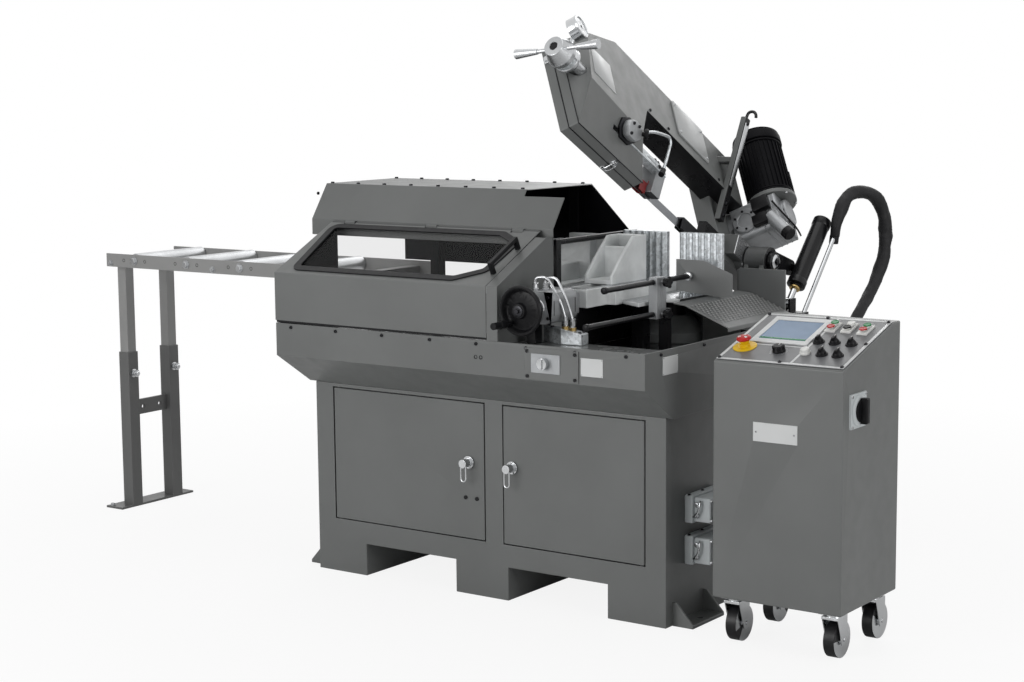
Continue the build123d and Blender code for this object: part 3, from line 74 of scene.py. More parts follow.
# Camera, solved from the photograph
CAMERA_PLACE = (3.36998, -4.98799, 1.53537)
CAMERA_YAW = 0.616738
CAMERA_PITCH = 0.134337
CAMERA_ROLL = -0.0091107
CAMERA_LENS = 69.01


def make_camera():
    data = bpy.data.cameras.new("camera")
    data.sensor_fit = "HORIZONTAL"
    data.sensor_width = 36
    data.lens = CAMERA_LENS
    data.clip_end = 100
    flat = cos(CAMERA_PITCH)
    backward = Vector((sin(CAMERA_YAW) * flat, -cos(CAMERA_YAW) * flat, sin(CAMERA_PITCH)))
    level = Vector((cos(CAMERA_YAW), sin(CAMERA_YAW), 0))
    upward = backward.cross(level)
    right = level * cos(CAMERA_ROLL) + upward * sin(CAMERA_ROLL)
    top = upward * cos(CAMERA_ROLL) - level * sin(CAMERA_ROLL)
    turn = Matrix((right, top, backward)).transposed().to_4x4()
    camera = bpy.data.objects.new("camera", data)
    camera.matrix_world = Matrix.Translation(CAMERA_PLACE) @ turn
    scene.collection.objects.link(camera)
    scene.camera = camera


make_camera()
scene.view_settings.view_transform = "Standard"


# Finishes
TEXTURE_LOW = 0.3
TEXTURE_HIGH = 0.7


def add_node(tree, kind, values=None, operation=None):
    """New shader node with some of its sockets set."""
    node = tree.nodes.new("ShaderNode" + kind)
    if operation:
        node.operation = operation
    for socket, value in (values or {}).items():
        node.inputs[socket].default_value = value
    return node


class Finish:
    """A material being wired up: its shader and a few textures in object space."""

    def __init__(self, name, color, roughness, metallic=0.0):
        self.material = bpy.data.materials.new(name)
        self.material.use_nodes = True
        self.tree = self.material.node_tree
        self.shader = self.tree.nodes["Principled BSDF"]
        self.color = color
        self.roughness = roughness
        self.set("Base Color", (*color, 1))
        self.set("Roughness", roughness)
        self.set("Metallic", metallic)
        self.place = add_node(self.tree, "TexCoord").outputs["Object"]

    def set(self, socket, value):
        self.shader.inputs[socket].default_value = value

    def add(self, kind, values, source, socket):
        """New node that another node's output feeds."""
        node = add_node(self.tree, kind, values)
        self.tree.links.new(source, node.inputs[socket])
        return node

    def noise(self, scale, detail, stretch=(1, 1, 1)):
        mapping = self.add("Mapping", {"Scale": stretch}, self.place, "Vector")
        values = {"Scale": scale, "Detail": detail}
        return self.add("TexNoise", values, mapping.outputs["Vector"], "Vector").outputs["Fac"]

    def tint(self, value, dark, light):
        """Colour from dark to light times the base colour, by a texture's value."""
        ramp = self.add("ValToRGB", None, value, "Fac")
        ends = ramp.color_ramp.elements
        for end, position, tone in ((ends[0], TEXTURE_LOW, dark), (ends[1], TEXTURE_HIGH, light)):
            end.position = position
            end.color = (*[part * tone for part in self.color], 1)
        self.tree.links.new(ramp.outputs["Color"], self.shader.inputs["Base Color"])

    def shine(self, value, spread):
        """Roughness that wanders about its value, by a texture's value."""
        values = {"From Min": TEXTURE_LOW, "From Max": TEXTURE_HIGH,
                  "To Min": self.roughness - spread, "To Max": self.roughness + spread}
        rough = self.add("MapRange", values, value, "Value")
        self.tree.links.new(rough.outputs["Result"], self.shader.inputs["Roughness"])

    def bump(self, value, depth, strength):
        """Relief of a depth in mm, by a texture's value."""
        bump = self.add("Bump", {"Distance": depth * MM, "Strength": strength}, value, "Height")
        self.tree.links.new(bump.outputs["Normal"], self.shader.inputs["Normal"])


def paint(name, color, roughness=0.42, peel=0.05, coat=0.1, gloss=0.4):
    """Sprayed paint: cloudy tone, faint orange peel, handling marks in the gloss."""
    finish = Finish(name, color, roughness)
    finish.tint(finish.noise(3.5, 5), 0.93, 1.07)
    finish.shine(finish.noise(22, 4), 0.06)
    finish.bump(finish.noise(420, 2), peel, 0.5)
    finish.set("Specular IOR Level", gloss)
    finish.set("Coat Weight", coat)
    finish.set("Coat Roughness", 0.3)
    return finish.material


def metal(name, color, roughness, stretch=(1, 1, 1), grain=260, depth=0.02):
    """Bare metal with a drawn or ground grain."""
    finish = Finish(name, color, roughness, 1.0)
    finish.tint(finish.noise(9, 5), 0.86, 1.08)
    finish.shine(finish.noise(grain, 3, stretch), 0.09)
    finish.bump(finish.noise(grain, 3, stretch), depth, 0.4)
    return finish.material


def casting(name, color, roughness, metallic, depth=0.5):
    """Sand-cast or bead-blasted metal."""
    finish = Finish(name, color, roughness, metallic)
    finish.tint(finish.noise(14, 6), 0.85, 1.1)
    finish.shine(finish.noise(90, 4), 0.08)
    finish.bump(finish.noise(330, 4), depth, 0.5)
    return finish.material


def plastic(name, color, roughness, depth=0.05, grain=700, gloss=0.25):
    """Moulded plastic or rubber with a fine grain."""
    finish = Finish(name, color, roughness)
    finish.tint(finish.noise(12, 4), 0.9, 1.08)
    finish.shine(finish.noise(60, 3), 0.06)
    finish.bump(finish.noise(grain, 2), depth, 0.4)
    finish.set("Specular IOR Level", gloss)
    return finish.material


def zinc_finish(name, color):
    """Galvanised sheet: flakes of differing tone."""
    finish = Finish(name, color, 0.36, 0.6)
    flakes = finish.add("TexVoronoi", {"Scale": 130}, finish.place, "Vector")
    finish.tint(flakes.outputs["Color"], 0.78, 1.1)
    finish.shine(finish.noise(140, 3), 0.1)
    finish.bump(finish.noise(300, 3), 0.03, 0.4)
    return finish.material


def clear_pane(name):
    """Clear sheet that keeps what is behind it visible."""
    finish = Finish(name, (0.02, 0.022, 0.022), 0.05)
    finish.set("Alpha", 0.10)
    finish.set("Specular IOR Level", 0.3)
    finish.shine(finish.noise(5, 3), 0.02)
    return finish.material


GREY = paint("machine_paint", (0.128, 0.133, 0.131))
GREY_DARK = paint("machine_paint_shade", (0.060, 0.063, 0.062))
TUBE_GREY = casting("pivot_casting", (0.075, 0.078, 0.078), 0.5, 0.2, 0.4)
TABLE_GREY = paint("table_paint", (0.26, 0.26, 0.257), 0.4)
LEG_GREY = paint("stand_paint", (0.112, 0.113, 0.112))
CHUTE_GREY = paint("chute_paint", (0.165, 0.170, 0.169), 0.4)
# Glossy grey for the upward faces of the black tray ledge: the grey is a painted reflection.
LEDGE_REFLECTION_GREY = paint("ledge_painted_reflection", (0.11, 0.114, 0.113), 0.26, 0.03, 0.25, 0.5)
PANEL_GREY = paint("panel_paint", (0.125, 0.128, 0.133), 0.38)
PALE_TRIM = paint("panel_border", (0.60, 0.61, 0.61), 0.38)
PLATE_GREY = paint("bare_plate", (0.40, 0.41, 0.41), 0.36)
BLACK = paint("black_paint", (0.007, 0.007, 0.008), 0.30, 0.04, 0.05, 0.22)
BLACK_SATIN = paint("black_satin", (0.003, 0.003, 0.004), 0.5, 0.05, 0.0, 0.06)
TRAY_GLOSS = paint("tray_gloss", (0.006, 0.006, 0.007), 0.1, 0.01, 0.5, 0.5)
CAST = casting("vise_casting", (0.74, 0.76, 0.76), 0.55, 0.1)
CAST_DARK = casting("pedestal_casting", (0.30, 0.315, 0.315), 0.6, 0.15, 0.9)
ALLOY = casting("cast_alloy", (0.34, 0.35, 0.36), 0.46, 0.45, 0.3)
BLOCK_ALLOY = casting("block_alloy", (0.36, 0.37, 0.38), 0.42, 0.3, 0.3)
WHEEL_IRON = casting("wheel_iron", (0.16, 0.16, 0.165), 0.45, 0.8, 0.2)
ZINC = zinc_finish("zinc_sheet", (0.60, 0.63, 0.65))
STEEL = metal("ground_steel", (0.50, 0.51, 0.52), 0.27, (1, 12, 1))
ROLLER_STEEL = metal("roller_steel", (0.60, 0.61, 0.62), 0.33, (14, 1, 14))
BLADE_STEEL = metal("blade_steel", (0.36, 0.37, 0.39), 0.3, (1, 8, 8))
CHROME = metal("bright_plating", (0.58, 0.59, 0.60), 0.16, (1, 1, 1), 60, 0.01)
BRASS = metal("brass_fitting", (0.50, 0.36, 0.15), 0.32)
BLACK_STEEL = metal("black_oxide", (0.030, 0.030, 0.033), 0.38)
BLACK_PLASTIC = plastic("black_plastic", (0.007, 0.007, 0.008), 0.36, gloss=0.15)
RUBBER = plastic("black_rubber", (0.010, 0.010, 0.011), 0.45, 0.08, 500, 0.2)
HOSE_RUBBER = plastic("hose_sleeve", (0.011, 0.011, 0.012), 0.6, 0.15, 420, 0.3)
TYRE = plastic("caster_tyre", (0.010, 0.010, 0.011), 0.38)
RED = plastic("red_plastic", (0.45, 0.012, 0.012), 0.3)
RED_PAINT = paint("red_paint", (0.20, 0.012, 0.012), 0.4)
YELLOW = plastic("yellow_plastic", (0.75, 0.48, 0.01), 0.35)
GREEN = plastic("green_plastic", (0.01, 0.20, 0.06), 0.3)
WHITE = plastic("white_plastic", (0.74, 0.74, 0.72), 0.35)
SOCKET_GREY = plastic("socket_grey", (0.50, 0.53, 0.54), 0.45)
SCREEN = plastic("screen_glass", (0.20, 0.29, 0.42), 0.2, 0.0)
DIAL = plastic("dial_face", (0.80, 0.80, 0.78), 0.3)
PANE = clear_pane("window_pane")


# Frames of the tilted parts, in mm
def axes_at(origin, x_axis, y_axis):
    """Frame from an origin and two axes; the third axis completes it."""
    x_axis = Vector(x_axis).normalized()
    y_axis = Vector(y_axis).normalized()
    turn = Matrix((x_axis, y_axis, x_axis.cross(y_axis))).transposed().to_4x4()
    turn.translation = Vector(origin)
    return turn


def turned_by(point, angle, axis="Z"):
    """Frame at a point, turned about one of its axes."""
    return Matrix.Translation(point) @ Matrix.Rotation(angle, 4, axis)


def around(count, start=0.0):
    """Angles spread evenly over a full turn."""
    return [start + 2 * pi * step / count for step in range(count)]


LIFT = radians(28.5)
TILT = radians(28)
ALONG = Vector((0, -cos(LIFT), sin(LIFT)))
ABOVE = Vector((0, sin(LIFT), cos(LIFT)))
ACROSS = Vector((-sin(TILT), cos(TILT) * sin(LIFT), cos(TILT) * cos(LIFT)))
BLADE_X = 368
PIVOT = (460, 952.7)
BLADE_DROP = 43
BLADE_ORIGIN = Vector((BLADE_X, *PIVOT)) - ABOVE * BLADE_DROP
WORLD = Matrix.Identity(4)
BOW = axes_at(BLADE_ORIGIN, ALONG, ACROSS)
CUT = axes_at(BLADE_ORIGIN, ALONG, ABOVE)
PANEL_RISE = atan2(95, 310)
PANEL = axes_at((809, -448, 778), RIGHT, (0, cos(PANEL_RISE), sin(PANEL_RISE)))
GUARD_SLOPE = atan2(140, 282)
GUARD = axes_at((0, -552, 950), RIGHT, (0, cos(GUARD_SLOPE), sin(GUARD_SLOPE)))


def local(matrix, point):
    """A point of the shared frame, in metres, as millimetres of a tilted frame."""
    return matrix.inverted() @ (Vector(point) / MM)


# Making pieces
def place(data, name, body):
    piece = bpy.data.objects.new(name, data)
    scene.collection.objects.link(piece)
    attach(piece, body)
    return piece


def smooth_curve(points, radius=0.0):
    """Curve data through a NURBS spline with these points in metres as its control points."""
    data = bpy.data.curves.new("route", "CURVE")
    data.dimensions = "3D"
    data.bevel_depth = radius
    data.bevel_resolution = 5
    data.resolution_u = 16
    data.use_fill_caps = radius > 0
    spline = data.splines.new("NURBS")
    spline.points.add(len(points) - 1)
    for control, point in zip(spline.points, points):
        control.co = (*point, 1)
    spline.order_u = 3
    spline.use_endpoint_u = True
    return data


def mesh_of(curve):
    """Mesh made from curve data, which is then removed."""
    holder = bpy.data.objects.new("holder", curve)
    scene.collection.objects.link(holder)
    bpy.context.view_layer.update()
    shape = holder.evaluated_get(bpy.context.evaluated_depsgraph_get())
    mesh = bpy.data.meshes.new_from_object(shape)
    bpy.data.objects.remove(holder)
    bpy.data.curves.remove(curve)
    return mesh


# Cords: the hose over the lift cylinder, and the leads from the sockets to the pendant
HOSE_ROUTE = (
    (0.605, 0.691, 1.021),
    (0.618, 0.688, 1.101),
    (0.627, 0.778, 1.169),
    (0.683, 0.879, 1.132),
    (0.695, 0.892, 0.969),
    (0.675, 0.834, 0.846),
    (0.685, 0.700, 0.772),
    (0.675, 0.589, 0.669),
    (0.620, 0.520, 0.570),
    (0.610, 0.422, 0.545),
)
UPPER_LEAD = (
    (0.690, -0.124, 0.325),
    (0.690, -0.050, 0.300),
    (0.745, 0.020, 0.245),
    (0.830, 0.035, 0.205),
    (0.895, -0.010, 0.205),
    (0.905, -0.084, 0.220),
)
LOWER_LEAD = (
    (0.690, -0.124, 0.2075),
    (0.690, -0.048, 0.1905),
    (0.740, 0.030, 0.1605),
    (0.830, 0.060, 0.1475),
    (0.930, 0.010, 0.1495),
    (0.945, -0.084, 0.1655),
)
HOSE_RADIUS = 0.012
LEAD_RADIUS = 0.007


def cord_piece(name, route, radius, finish, nodes):
    data = smooth_curve(route, radius)
    data.materials.append(finish)
    piece = place(data, name, "machine")
    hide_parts(*nodes)
    return piece


def bridge(work, rings):
    """Faces from each ring of points to the next."""
    for first, second in zip(rings, rings[1:]):
        for corner in range(len(first)):
            after = (corner + 1) % len(first)
            work.faces.new((first[corner], first[after], second[after], second[corner]))


SLEEVE_STEP = 0.004
SLEEVE_SIDES = 20
SLEEVE_START = 0.0150
SLEEVE_TIGHT = 0.0030
SLEEVE_LOOSE = 0.0032
SLEEVE_SWELL = 0.0024
SLEEVE_CREASE = 0.0009


def hose_sleeve(seed):
    """Wrinkled wrap round the hose: loose and fat over the top bend, tight lower down."""
    line = mesh_of(smooth_curve(HOSE_ROUTE))
    path = [vertex.co.copy() for vertex in line.vertices]
    bpy.data.meshes.remove(line)
    draw = random.Random(seed)
    spots = []
    for start, end in zip(path, path[1:]):
        parts = max(int((end - start).length / SLEEVE_STEP), 1)
        spots += [start.lerp(end, step / parts) for step in range(parts)]
    spots.append(path[-1])
    work = bmesh.new()
    rings = []
    side = Vector(RIGHT)
    folds = [draw.uniform(0, 2 * pi) for _ in range(3)]
    swell = 0.0
    for index, spot in enumerate(spots):
        before = spots[max(index - 1, 0)]
        after = spots[min(index + 1, len(spots) - 1)]
        way = (after - before).normalized()
        side = (side - way * side.dot(way)).normalized()
        other = way.cross(side)
        share = index / (len(spots) - 1)
        loose = max(0.0, 1 - share / 0.6)
        swell = 0.7 * swell + 0.3 * draw.uniform(-1, 1)
        begun = min(1, share / 0.08)
        slack = (SLEEVE_LOOSE + SLEEVE_SWELL * swell) * min(1, loose * 3)
        base = SLEEVE_START + begun * (SLEEVE_TIGHT + slack)
        ring = []
        for angle in around(SLEEVE_SIDES):
            crease = sin(2 * angle + folds[0] + index * 0.31) + sin(3 * angle + folds[1] - index * 0.47)
            radius = base + SLEEVE_CREASE * crease * min(1, 0.3 + loose * 2)
            ring.append(work.verts.new(spot + (side * cos(angle) + other * sin(angle)) * radius))
        rings.append(ring)
    bridge(work, rings)
    work.faces.new(rings[0][::-1])
    work.faces.new(rings[-1])
    mesh = bpy.data.meshes.new("hose_sleeve")
    work.to_mesh(mesh)
    work.free()
    mesh.shade_smooth()
    mesh.materials.append(HOSE_RUBBER)
    return place(mesh, "hose_sleeve", "machine")


sleeve = hose_sleeve(7)
hose = cord_piece("lift_hose", HOSE_ROUTE, HOSE_RADIUS, HOSE_RUBBER, ["cable_hose"])
upper_lead = cord_piece("upper_lead", UPPER_LEAD, LEAD_RADIUS, RUBBER, ["socket_cables"])
lower_lead = cord_piece("lower_lead", LOWER_LEAD, LEAD_RADIUS, RUBBER, ["socket_cables"])


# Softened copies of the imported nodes
SHARP = radians(24)
CREASE = radians(32)
KIT_CREASE = radians(35)
FLAT = radians(0.4)
WELD = 2e-6
LEAST_ROUNDING = 0.00025
ROUNDING_STEPS = 3


def face_reach(face, edge):
    """Distance across a face from one of its edges to what lies opposite that edge."""
    start = edge.verts[0].co
    run = edge.verts[1].co - start
    size = run.length
    run = run / size
    widest = 0.0
    nearest = None
    for vertex in face.verts:
        offset = vertex.co - start
        shift = offset.dot(run)
        away = (offset - run * shift).length
        widest = max(widest, away)
        if away > 1e-5 and -0.001 <= shift <= size + 0.001:
            nearest = away if nearest is None else min(nearest, away)
    return widest if nearest is None else nearest


def edge_width(edge, most):
    """Rounding that an edge takes without reaching its neighbours, in metres."""
    if len(edge.link_faces) != 2 or not edge.is_convex or edge.calc_face_angle(0) < SHARP:
        return 0.0
    reach = min(face_reach(face, edge) for face in edge.link_faces)
    width = min(most, 0.3 * reach, 0.4 * edge.calc_length())
    return width if width > LEAST_ROUNDING else 0.0


def soften(node, finish, edge, pick=None):
    """Copy of a node with rounded edges; pick(center, normal) names another finish for some faces."""
    work = bmesh.new()
    work.from_mesh(frame["nodes"][node].data)
    bmesh.ops.remove_doubles(work, verts=work.verts, dist=WELD)
    bmesh.ops.dissolve_limit(work, angle_limit=FLAT, verts=work.verts, edges=work.edges)
    weights = work.edges.layers.float.new("bevel_weight_edge")
    for line in work.edges:
        line[weights] = edge_width(line, edge * MM) / (edge * MM)
    finishes = [finish]
    for face in work.faces:
        chosen = pick(face.calc_center_median(), face.normal) if pick else None
        if chosen is not None:
            if chosen not in finishes:
                finishes.append(chosen)
            face.material_index = finishes.index(chosen)
    mesh = bpy.data.meshes.new(node + "_skin")
    work.to_mesh(mesh)
    work.free()
    for material in finishes:
        mesh.materials.append(material)
    mesh.shade_smooth()
    mesh.set_sharp_from_angle(angle=CREASE)
    piece = place(mesh, node + "_skin", frame["nodes"][node]["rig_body"])
    bevel = piece.modifiers.new("round", "BEVEL")
    bevel.limit_method = "WEIGHT"
    bevel.width = edge * MM
    bevel.segments = ROUNDING_STEPS
    bevel.use_clamp_overlap = False
    normals = piece.modifiers.new("normals", "WEIGHTED_NORMAL")
    normals.keep_sharp = True
    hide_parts(node)


class Kit:
    def __init__(self, name, body, slot, matrix=WORLD):
        self.name = name
        self.body = body
        self.slot = slot
        self.matrix = matrix
        self.work = bmesh.new()
        self.finishes = []

    def take(self, shape, finish, matrix=WORLD):
        """Adds a shape made in mm of its own frame."""
        if finish not in self.finishes:
            self.finishes.append(finish)
        index = self.finishes.index(finish)
        bmesh.ops.recalc_face_normals(shape, faces=shape.faces)
        for face in shape.faces:
            face.material_index = index
        bmesh.ops.transform(shape, matrix=Matrix.Scale(MM, 4) @ self.matrix @ matrix, verts=shape.verts)
        mesh = bpy.data.meshes.new("shape")
        shape.to_mesh(mesh)
        shape.free()
        self.work.from_mesh(mesh)
        bpy.data.meshes.remove(mesh)

    def plate(self, outline, low, high, finish, edge=0.6, matrix=WORLD):
        """Polygon in the frame's x and y, thickened between two heights, with rounded edges."""
        shape = bmesh.new()
        bottom = shape.faces.new([shape.verts.new((x, y, low)) for x, y in outline])
        raised = bmesh.ops.extrude_face_region(shape, geom=[bottom])
        lifted = [item for item in raised["geom"] if isinstance(item, bmesh.types.BMVert)]
        bmesh.ops.translate(shape, verts=lifted, vec=(0, 0, high - low))
        if edge > 0:
            sharp = [line for line in shape.edges if line.calc_face_angle(0) > SHARP]
            bmesh.ops.bevel(shape, geom=sharp, offset=edge, segments=2, profile=0.5, affect="EDGES")
        self.take(shape, finish, matrix)

    def box(self, x, y, z, finish, edge=0.6, matrix=WORLD):
        """Box between three spans."""
        outline = [(x[0], y[0]), (x[1], y[0]), (x[1], y[1]), (x[0], y[1])]
        self.plate(outline, z[0], z[1], finish, edge, matrix)

    def turned(self, start, axis, profile, finish, sides=40):
        """Turned shape: profile gives (distance along the axis, radius) from one end to the other."""
        axis = Vector(axis).normalized()
        across = axis.orthogonal().normalized()
        other = axis.cross(across)
        shape = bmesh.new()
        rings = []
        for distance, radius in profile:
            center = Vector(start) + axis * distance
            if radius == 0:
                rings.append([shape.verts.new(center)])
                continue
            spokes = [across * cos(angle) + other * sin(angle) for angle in around(sides)]
            rings.append([shape.verts.new(center + spoke * radius) for spoke in spokes])
        for first, second in zip(rings, rings[1:]):
            count = max(len(first), len(second))
            for corner in range(count):
                after = (corner + 1) % count
                points = [first[corner % len(first)], second[corner % len(second)]]
                if len(second) > 1:
                    points.append(second[after])
                if len(first) > 1:
                    points.append(first[after])
                shape.faces.new(points)
        for ring in (rings[0], rings[-1]):
            if len(ring) > 1:
                shape.faces.new(ring)
        self.take(shape, finish)

    def rod(self, start, axis, radius, size, finish, edge=0.6):
        """Round bar with chamfered ends."""
        profile = [(0, radius - edge), (edge, radius), (size - edge, radius), (size, radius - edge)]
        self.turned(start, axis, profile, finish, 32)

    def bolt(self, start, axis, radius, finish):
        """Hexagon head on a washer; start lies on the surface."""
        height = radius * 0.75
        rim = radius * 0.13
        lift = radius * 0.2
        wide = radius * 1.45
        top = lift + height
        self.turned(start, axis, [(-0.5, wide), (lift, wide), (lift, 0)], finish, 28)
        head = [(lift, radius), (top - rim, radius), (top, radius * 0.86), (top, 0)]
        self.turned(start, axis, head, finish, 6)

    def screw(self, start, axis, radius, finish, socket_shade=None):
        """Round head with a hexagon socket; a finish given for the socket paints its floor darker, as
        painted shade.
        """
        height = radius * 0.8
        head = [(-0.5, radius), (height * 0.7, radius), (height, radius * 0.85), (height, radius * 0.55)]
        self.turned(start, axis, head + [(height * 0.5, radius * 0.5), (height * 0.5, 0)], finish, 24)
        if socket_shade:
            base = Vector(start) + Vector(axis).normalized() * height * 0.52
            self.turned(base, axis, [(0, radius * 0.48), (0.05, 0)], socket_shade, 6)

    def cap_screw(self, start, axis, radius):
        """Blackened screw whose socket floor is painted black as painted shade."""
        self.screw(start, axis, radius, BLACK_STEEL, BLACK)

    def wire(self, points, radius, finish):
        """Round wire or pipe along a smooth line near these points."""
        data = smooth_curve([Vector(point) * MM for point in points], radius * MM)
        data.bevel_resolution = 3
        data.resolution_u = 8
        mesh = mesh_of(data)
        shape = bmesh.new()
        shape.from_mesh(mesh)
        bpy.data.meshes.remove(mesh)
        bmesh.ops.scale(shape, vec=(1 / MM, 1 / MM, 1 / MM), verts=shape.verts)
        bmesh.ops.remove_doubles(shape, verts=shape.verts, dist=0.001)
        self.take(shape, finish)

    def done(self, *nodes):
        """Turns the gathered shapes into a piece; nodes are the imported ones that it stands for."""
        mesh = bpy.data.meshes.new(self.name)
        self.work.to_mesh(mesh)
        self.work.free()
        for finish in self.finishes:
            mesh.materials.append(finish)
        mesh.shade_smooth()
        mesh.set_sharp_from_angle(angle=KIT_CREASE)
        piece = place(mesh, self.name, self.body)
        if nodes:
            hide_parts(*nodes)


# Base, doors and tray
FRONT = -400
TRAY_FACE = -552


def door_finish(center, normal):
    return BLACK if center.y / MM < FRONT - 0.4 else None


def tray_finish(center, normal):
    x, y, z = center / MM
    knob_plate = 280 <= x <= 400 and -580 <= y and 712 <= z <= 780
    inside = abs(x) < 655.5 and -548.5 < y < 436.5 and 738 < z < 794.5
    bare_plate = y < TRAY_FACE - 0.5 and x > 452 or x > 659.5
    if y < TRAY_FACE - 4.2:
        return ALLOY if knob_plate else BLACK
    # Upward faces of the ledge get grey as a painted reflection; the tray floor gets gloss black.
    if inside and normal.z > 0.9:
        return LEDGE_REFLECTION_GREY if z > 775 else TRAY_GLOSS
    if inside:
        return BLACK
    return PALE_TRIM if bare_plate else None


soften("base_cabinet", GREY, 2.5)
for side in ("left", "right"):
    soften(side + "_door", GREY, 3, door_finish)
for side in ("left", "right"):
    soften(side + "_door_latch", CHROME, 1.5)
soften("chip_tray", GREY, 2, tray_finish)
soften("valve_knob", CHROME, 2)

# Feed enclosure
HOOD_CENTER = Vector((-284, -55, 1060)) * MM


def hood_finish(center, normal):
    x, y, z = center / MM
    rear_post = 119 < y < 157 and z < 1197 and (-581 < x < -541 or -32 < x < 8)
    rear_panel = y > 150 and z < 1043 and normal.y < -0.5
    end_post = 152 < x < 178 and z < 1062 and (y > -262 and abs(y + 243) < 13 or abs(y - 181) < 13)
    end_beam = 155 < x < 175 and 1042 < z < 1062 and -240 < y < 190
    left_end = x < -640 and z < 1040
    inward_face = z > 1035 and -748 < x < 173.5 and normal.dot(center - HOOD_CENTER) < 0
    # Faces turned into the hood, its rear posts and rear panel and the low part of its left end are made
    # black satin; the posts and beam at its right end are made black.
    if rear_post or rear_panel:
        return BLACK_SATIN
    if end_post or end_beam:
        return BLACK
    return BLACK_SATIN if left_end or inward_face else None


def guard_finish(center, normal):
    on_handle = 110 < center.x / MM < 130 and local(GUARD, center).z > 1.5
    return BLACK_PLASTIC if on_handle else None


def window_finish(center, normal):
    return RUBBER if local(GUARD, center).z > -0.1 else PANE


soften("feed_hood", GREY, 2, hood_finish)
soften("feed_guard", GREY, 3, guard_finish)
soften("guard_window", PANE, 2.2, window_finish)


def rail_finish(center, normal):
    x, y, z = center / MM
    on_rod = abs(y + 70) < 15 or abs(y - 30) < 15 or abs(y + 20) < 11
    between_blocks = -545 < x < 150 and 794 < z < 826
    return CHROME if on_rod and between_blocks and abs(normal.x) < 0.1 else None


soften("feed_rails", BLACK_STEEL, 2, rail_finish)
soften("feed_carriage", CAST, 3)

trim = Kit("guard_trim", "guard", "machine_paint")
trim.box((-658, 133), (-548.8, -546), (796.5, 815), RUBBER, 0.6)
for barrel in ((-656, -607), (-558, -287), (-238, 33), (82, 131)):
    trim.rod((barrel[0], -276, 1083), RIGHT, 5.7, barrel[1] - barrel[0], GREY_DARK)
trim.done()

# Roller table
soften("table_frame", TABLE_GREY, 2)
soften("table_stand", LEG_GREY, 2, lambda center, normal: CHROME if center.x / MM > -1778.8 else None)
for number in range(1, 5):
    soften("table_roller_" + str(number), ROLLER_STEEL, 2)


# Vise
JAW_FACE = 90
DOME_REACH = 99


def bed_finish(center, normal):
    x, y, z = center / MM
    dome = z < 821 and (x - BLADE_X) ** 2 + (y - JAW_FACE) ** 2 < DOME_REACH ** 2
    if normal.z > 0.9 and z > 880:
        return STEEL
    if dome:
        return CAST_DARK
    # Faces below 871 mm are painted black: painted shade of the opening under the bed.
    return BLACK if z < 871 else None


def hydraulics_finish(center, normal):
    x, y, z = center / MM
    low_corner = x < 241 and y < -424 and z < 857
    pipes = z > 935 or x > 301 and z > 828
    if low_corner:
        return BLACK
    if pipes:
        return STEEL
    return ZINC if z < 829 else None


soften("vise_bed", CAST, 2.5, bed_finish)
soften("fixed_jaws", ZINC, 1.5)
soften("vise_jaw", CAST, 4)
soften("vise_handwheel", BLACK_PLASTIC, 2.5, lambda center, normal: STEEL if center.y / MM > -523 else None)
soften("vise_hydraulics", BLOCK_ALLOY, 2.5, hydraulics_finish)


# Outfeed
def bracket_finish(center, normal):
    if center.x / MM > 476:
        return BLACK_PLASTIC
    return ALLOY if -175.5 < center.y / MM < -124.5 else None


def deflector_finish(center, normal):
    if center.y / MM > 42:
        return CHROME
    return BLACK if center.y / MM < 36.5 else None


soften("discharge_chute", CHUTE_GREY, 2)
soften("guide_bracket", BLACK, 2, bracket_finish)
soften("chute_guide", CHUTE_GREY, 1.5, deflector_finish)


# Pivot stand and lift cylinder
def stand_finish(center, normal):
    x, y, z = center / MM
    near_tube = (y - PIVOT[0]) ** 2 + (z - PIVOT[1]) ** 2
    hose_strut = x > 585 and z > 802
    tube_end = x > 499 and near_tube < 48 ** 2
    if hose_strut:
        return STEEL if z < 992 else BLACK
    if near_tube < 46 ** 2 and not tube_end:
        return TUBE_GREY
    return BLACK if tube_end or x > 501 else None


soften("pivot_stand", GREY, 2, stand_finish)
soften("lift_rod", CHROME, 1)
soften("lift_cylinder", BLACK, 6)


# Saw arm
def arm_finish(center, normal):
    p, q, r = local(BOW, center)
    along, above, side = local(CUT, center)
    inward = BOW.to_3x3().inverted() @ normal
    x = center.x / MM
    tall_bar = 83 < along < 117 and 131 < above < 495 and 14 < side < 39
    rear_guide = 110 < along < 370 and above < 24 and q < 60
    beam_underside = 115 < p < 660 and q < 224 and inward.y < -0.5
    below_beam = 118 < p < 660 and q < 225
    wheel_space = 0 < p < 1050 and -60 < r < 1 and inward.z > 0.5
    if tall_bar:
        return BLACK
    if x > 424:
        return BLACK if x > 500 else STEEL
    if rear_guide:
        return BLACK_STEEL
    # The beam's underside and the faces below the beam are made black.
    if beam_underside or below_beam:
        return BLACK
    return BLACK_SATIN if wheel_space else None


def guide_finish(center, normal):
    along, above, side = local(CUT, center)
    p, q, r = local(BOW, center)
    blade_guard = along > 603 and above < 22 and side > -14
    slide_bar = p > 601 and 39 < q < 76 and -63 < r < -37
    if blade_guard:
        return RED_PAINT
    if slide_bar:
        return ZINC
    return BLACK_STEEL if above < 20 else ALLOY


def unit_finish(center, normal):
    p, q, r = local(BOW, center)
    if q > 205 or r < -80:
        return CHROME
    return ZINC if p > 1079 else STEEL


soften("saw_frame", GREY, 3, arm_finish)
soften("wheel_cover", GREY, 2.5)
soften("idler_wheel", WHEEL_IRON, 2)
soften("drive_wheel", WHEEL_IRON, 2)
soften("saw_blade", BLADE_STEEL, 0.3)
soften("guide_arm", ALLOY, 1.5, guide_finish)
soften("tension_unit", ZINC, 2, unit_finish)
soften("tension_handle", STEEL, 3)


def motor_finish(center, normal):
    return GREY if local(BOW, center).y < 221.5 else None


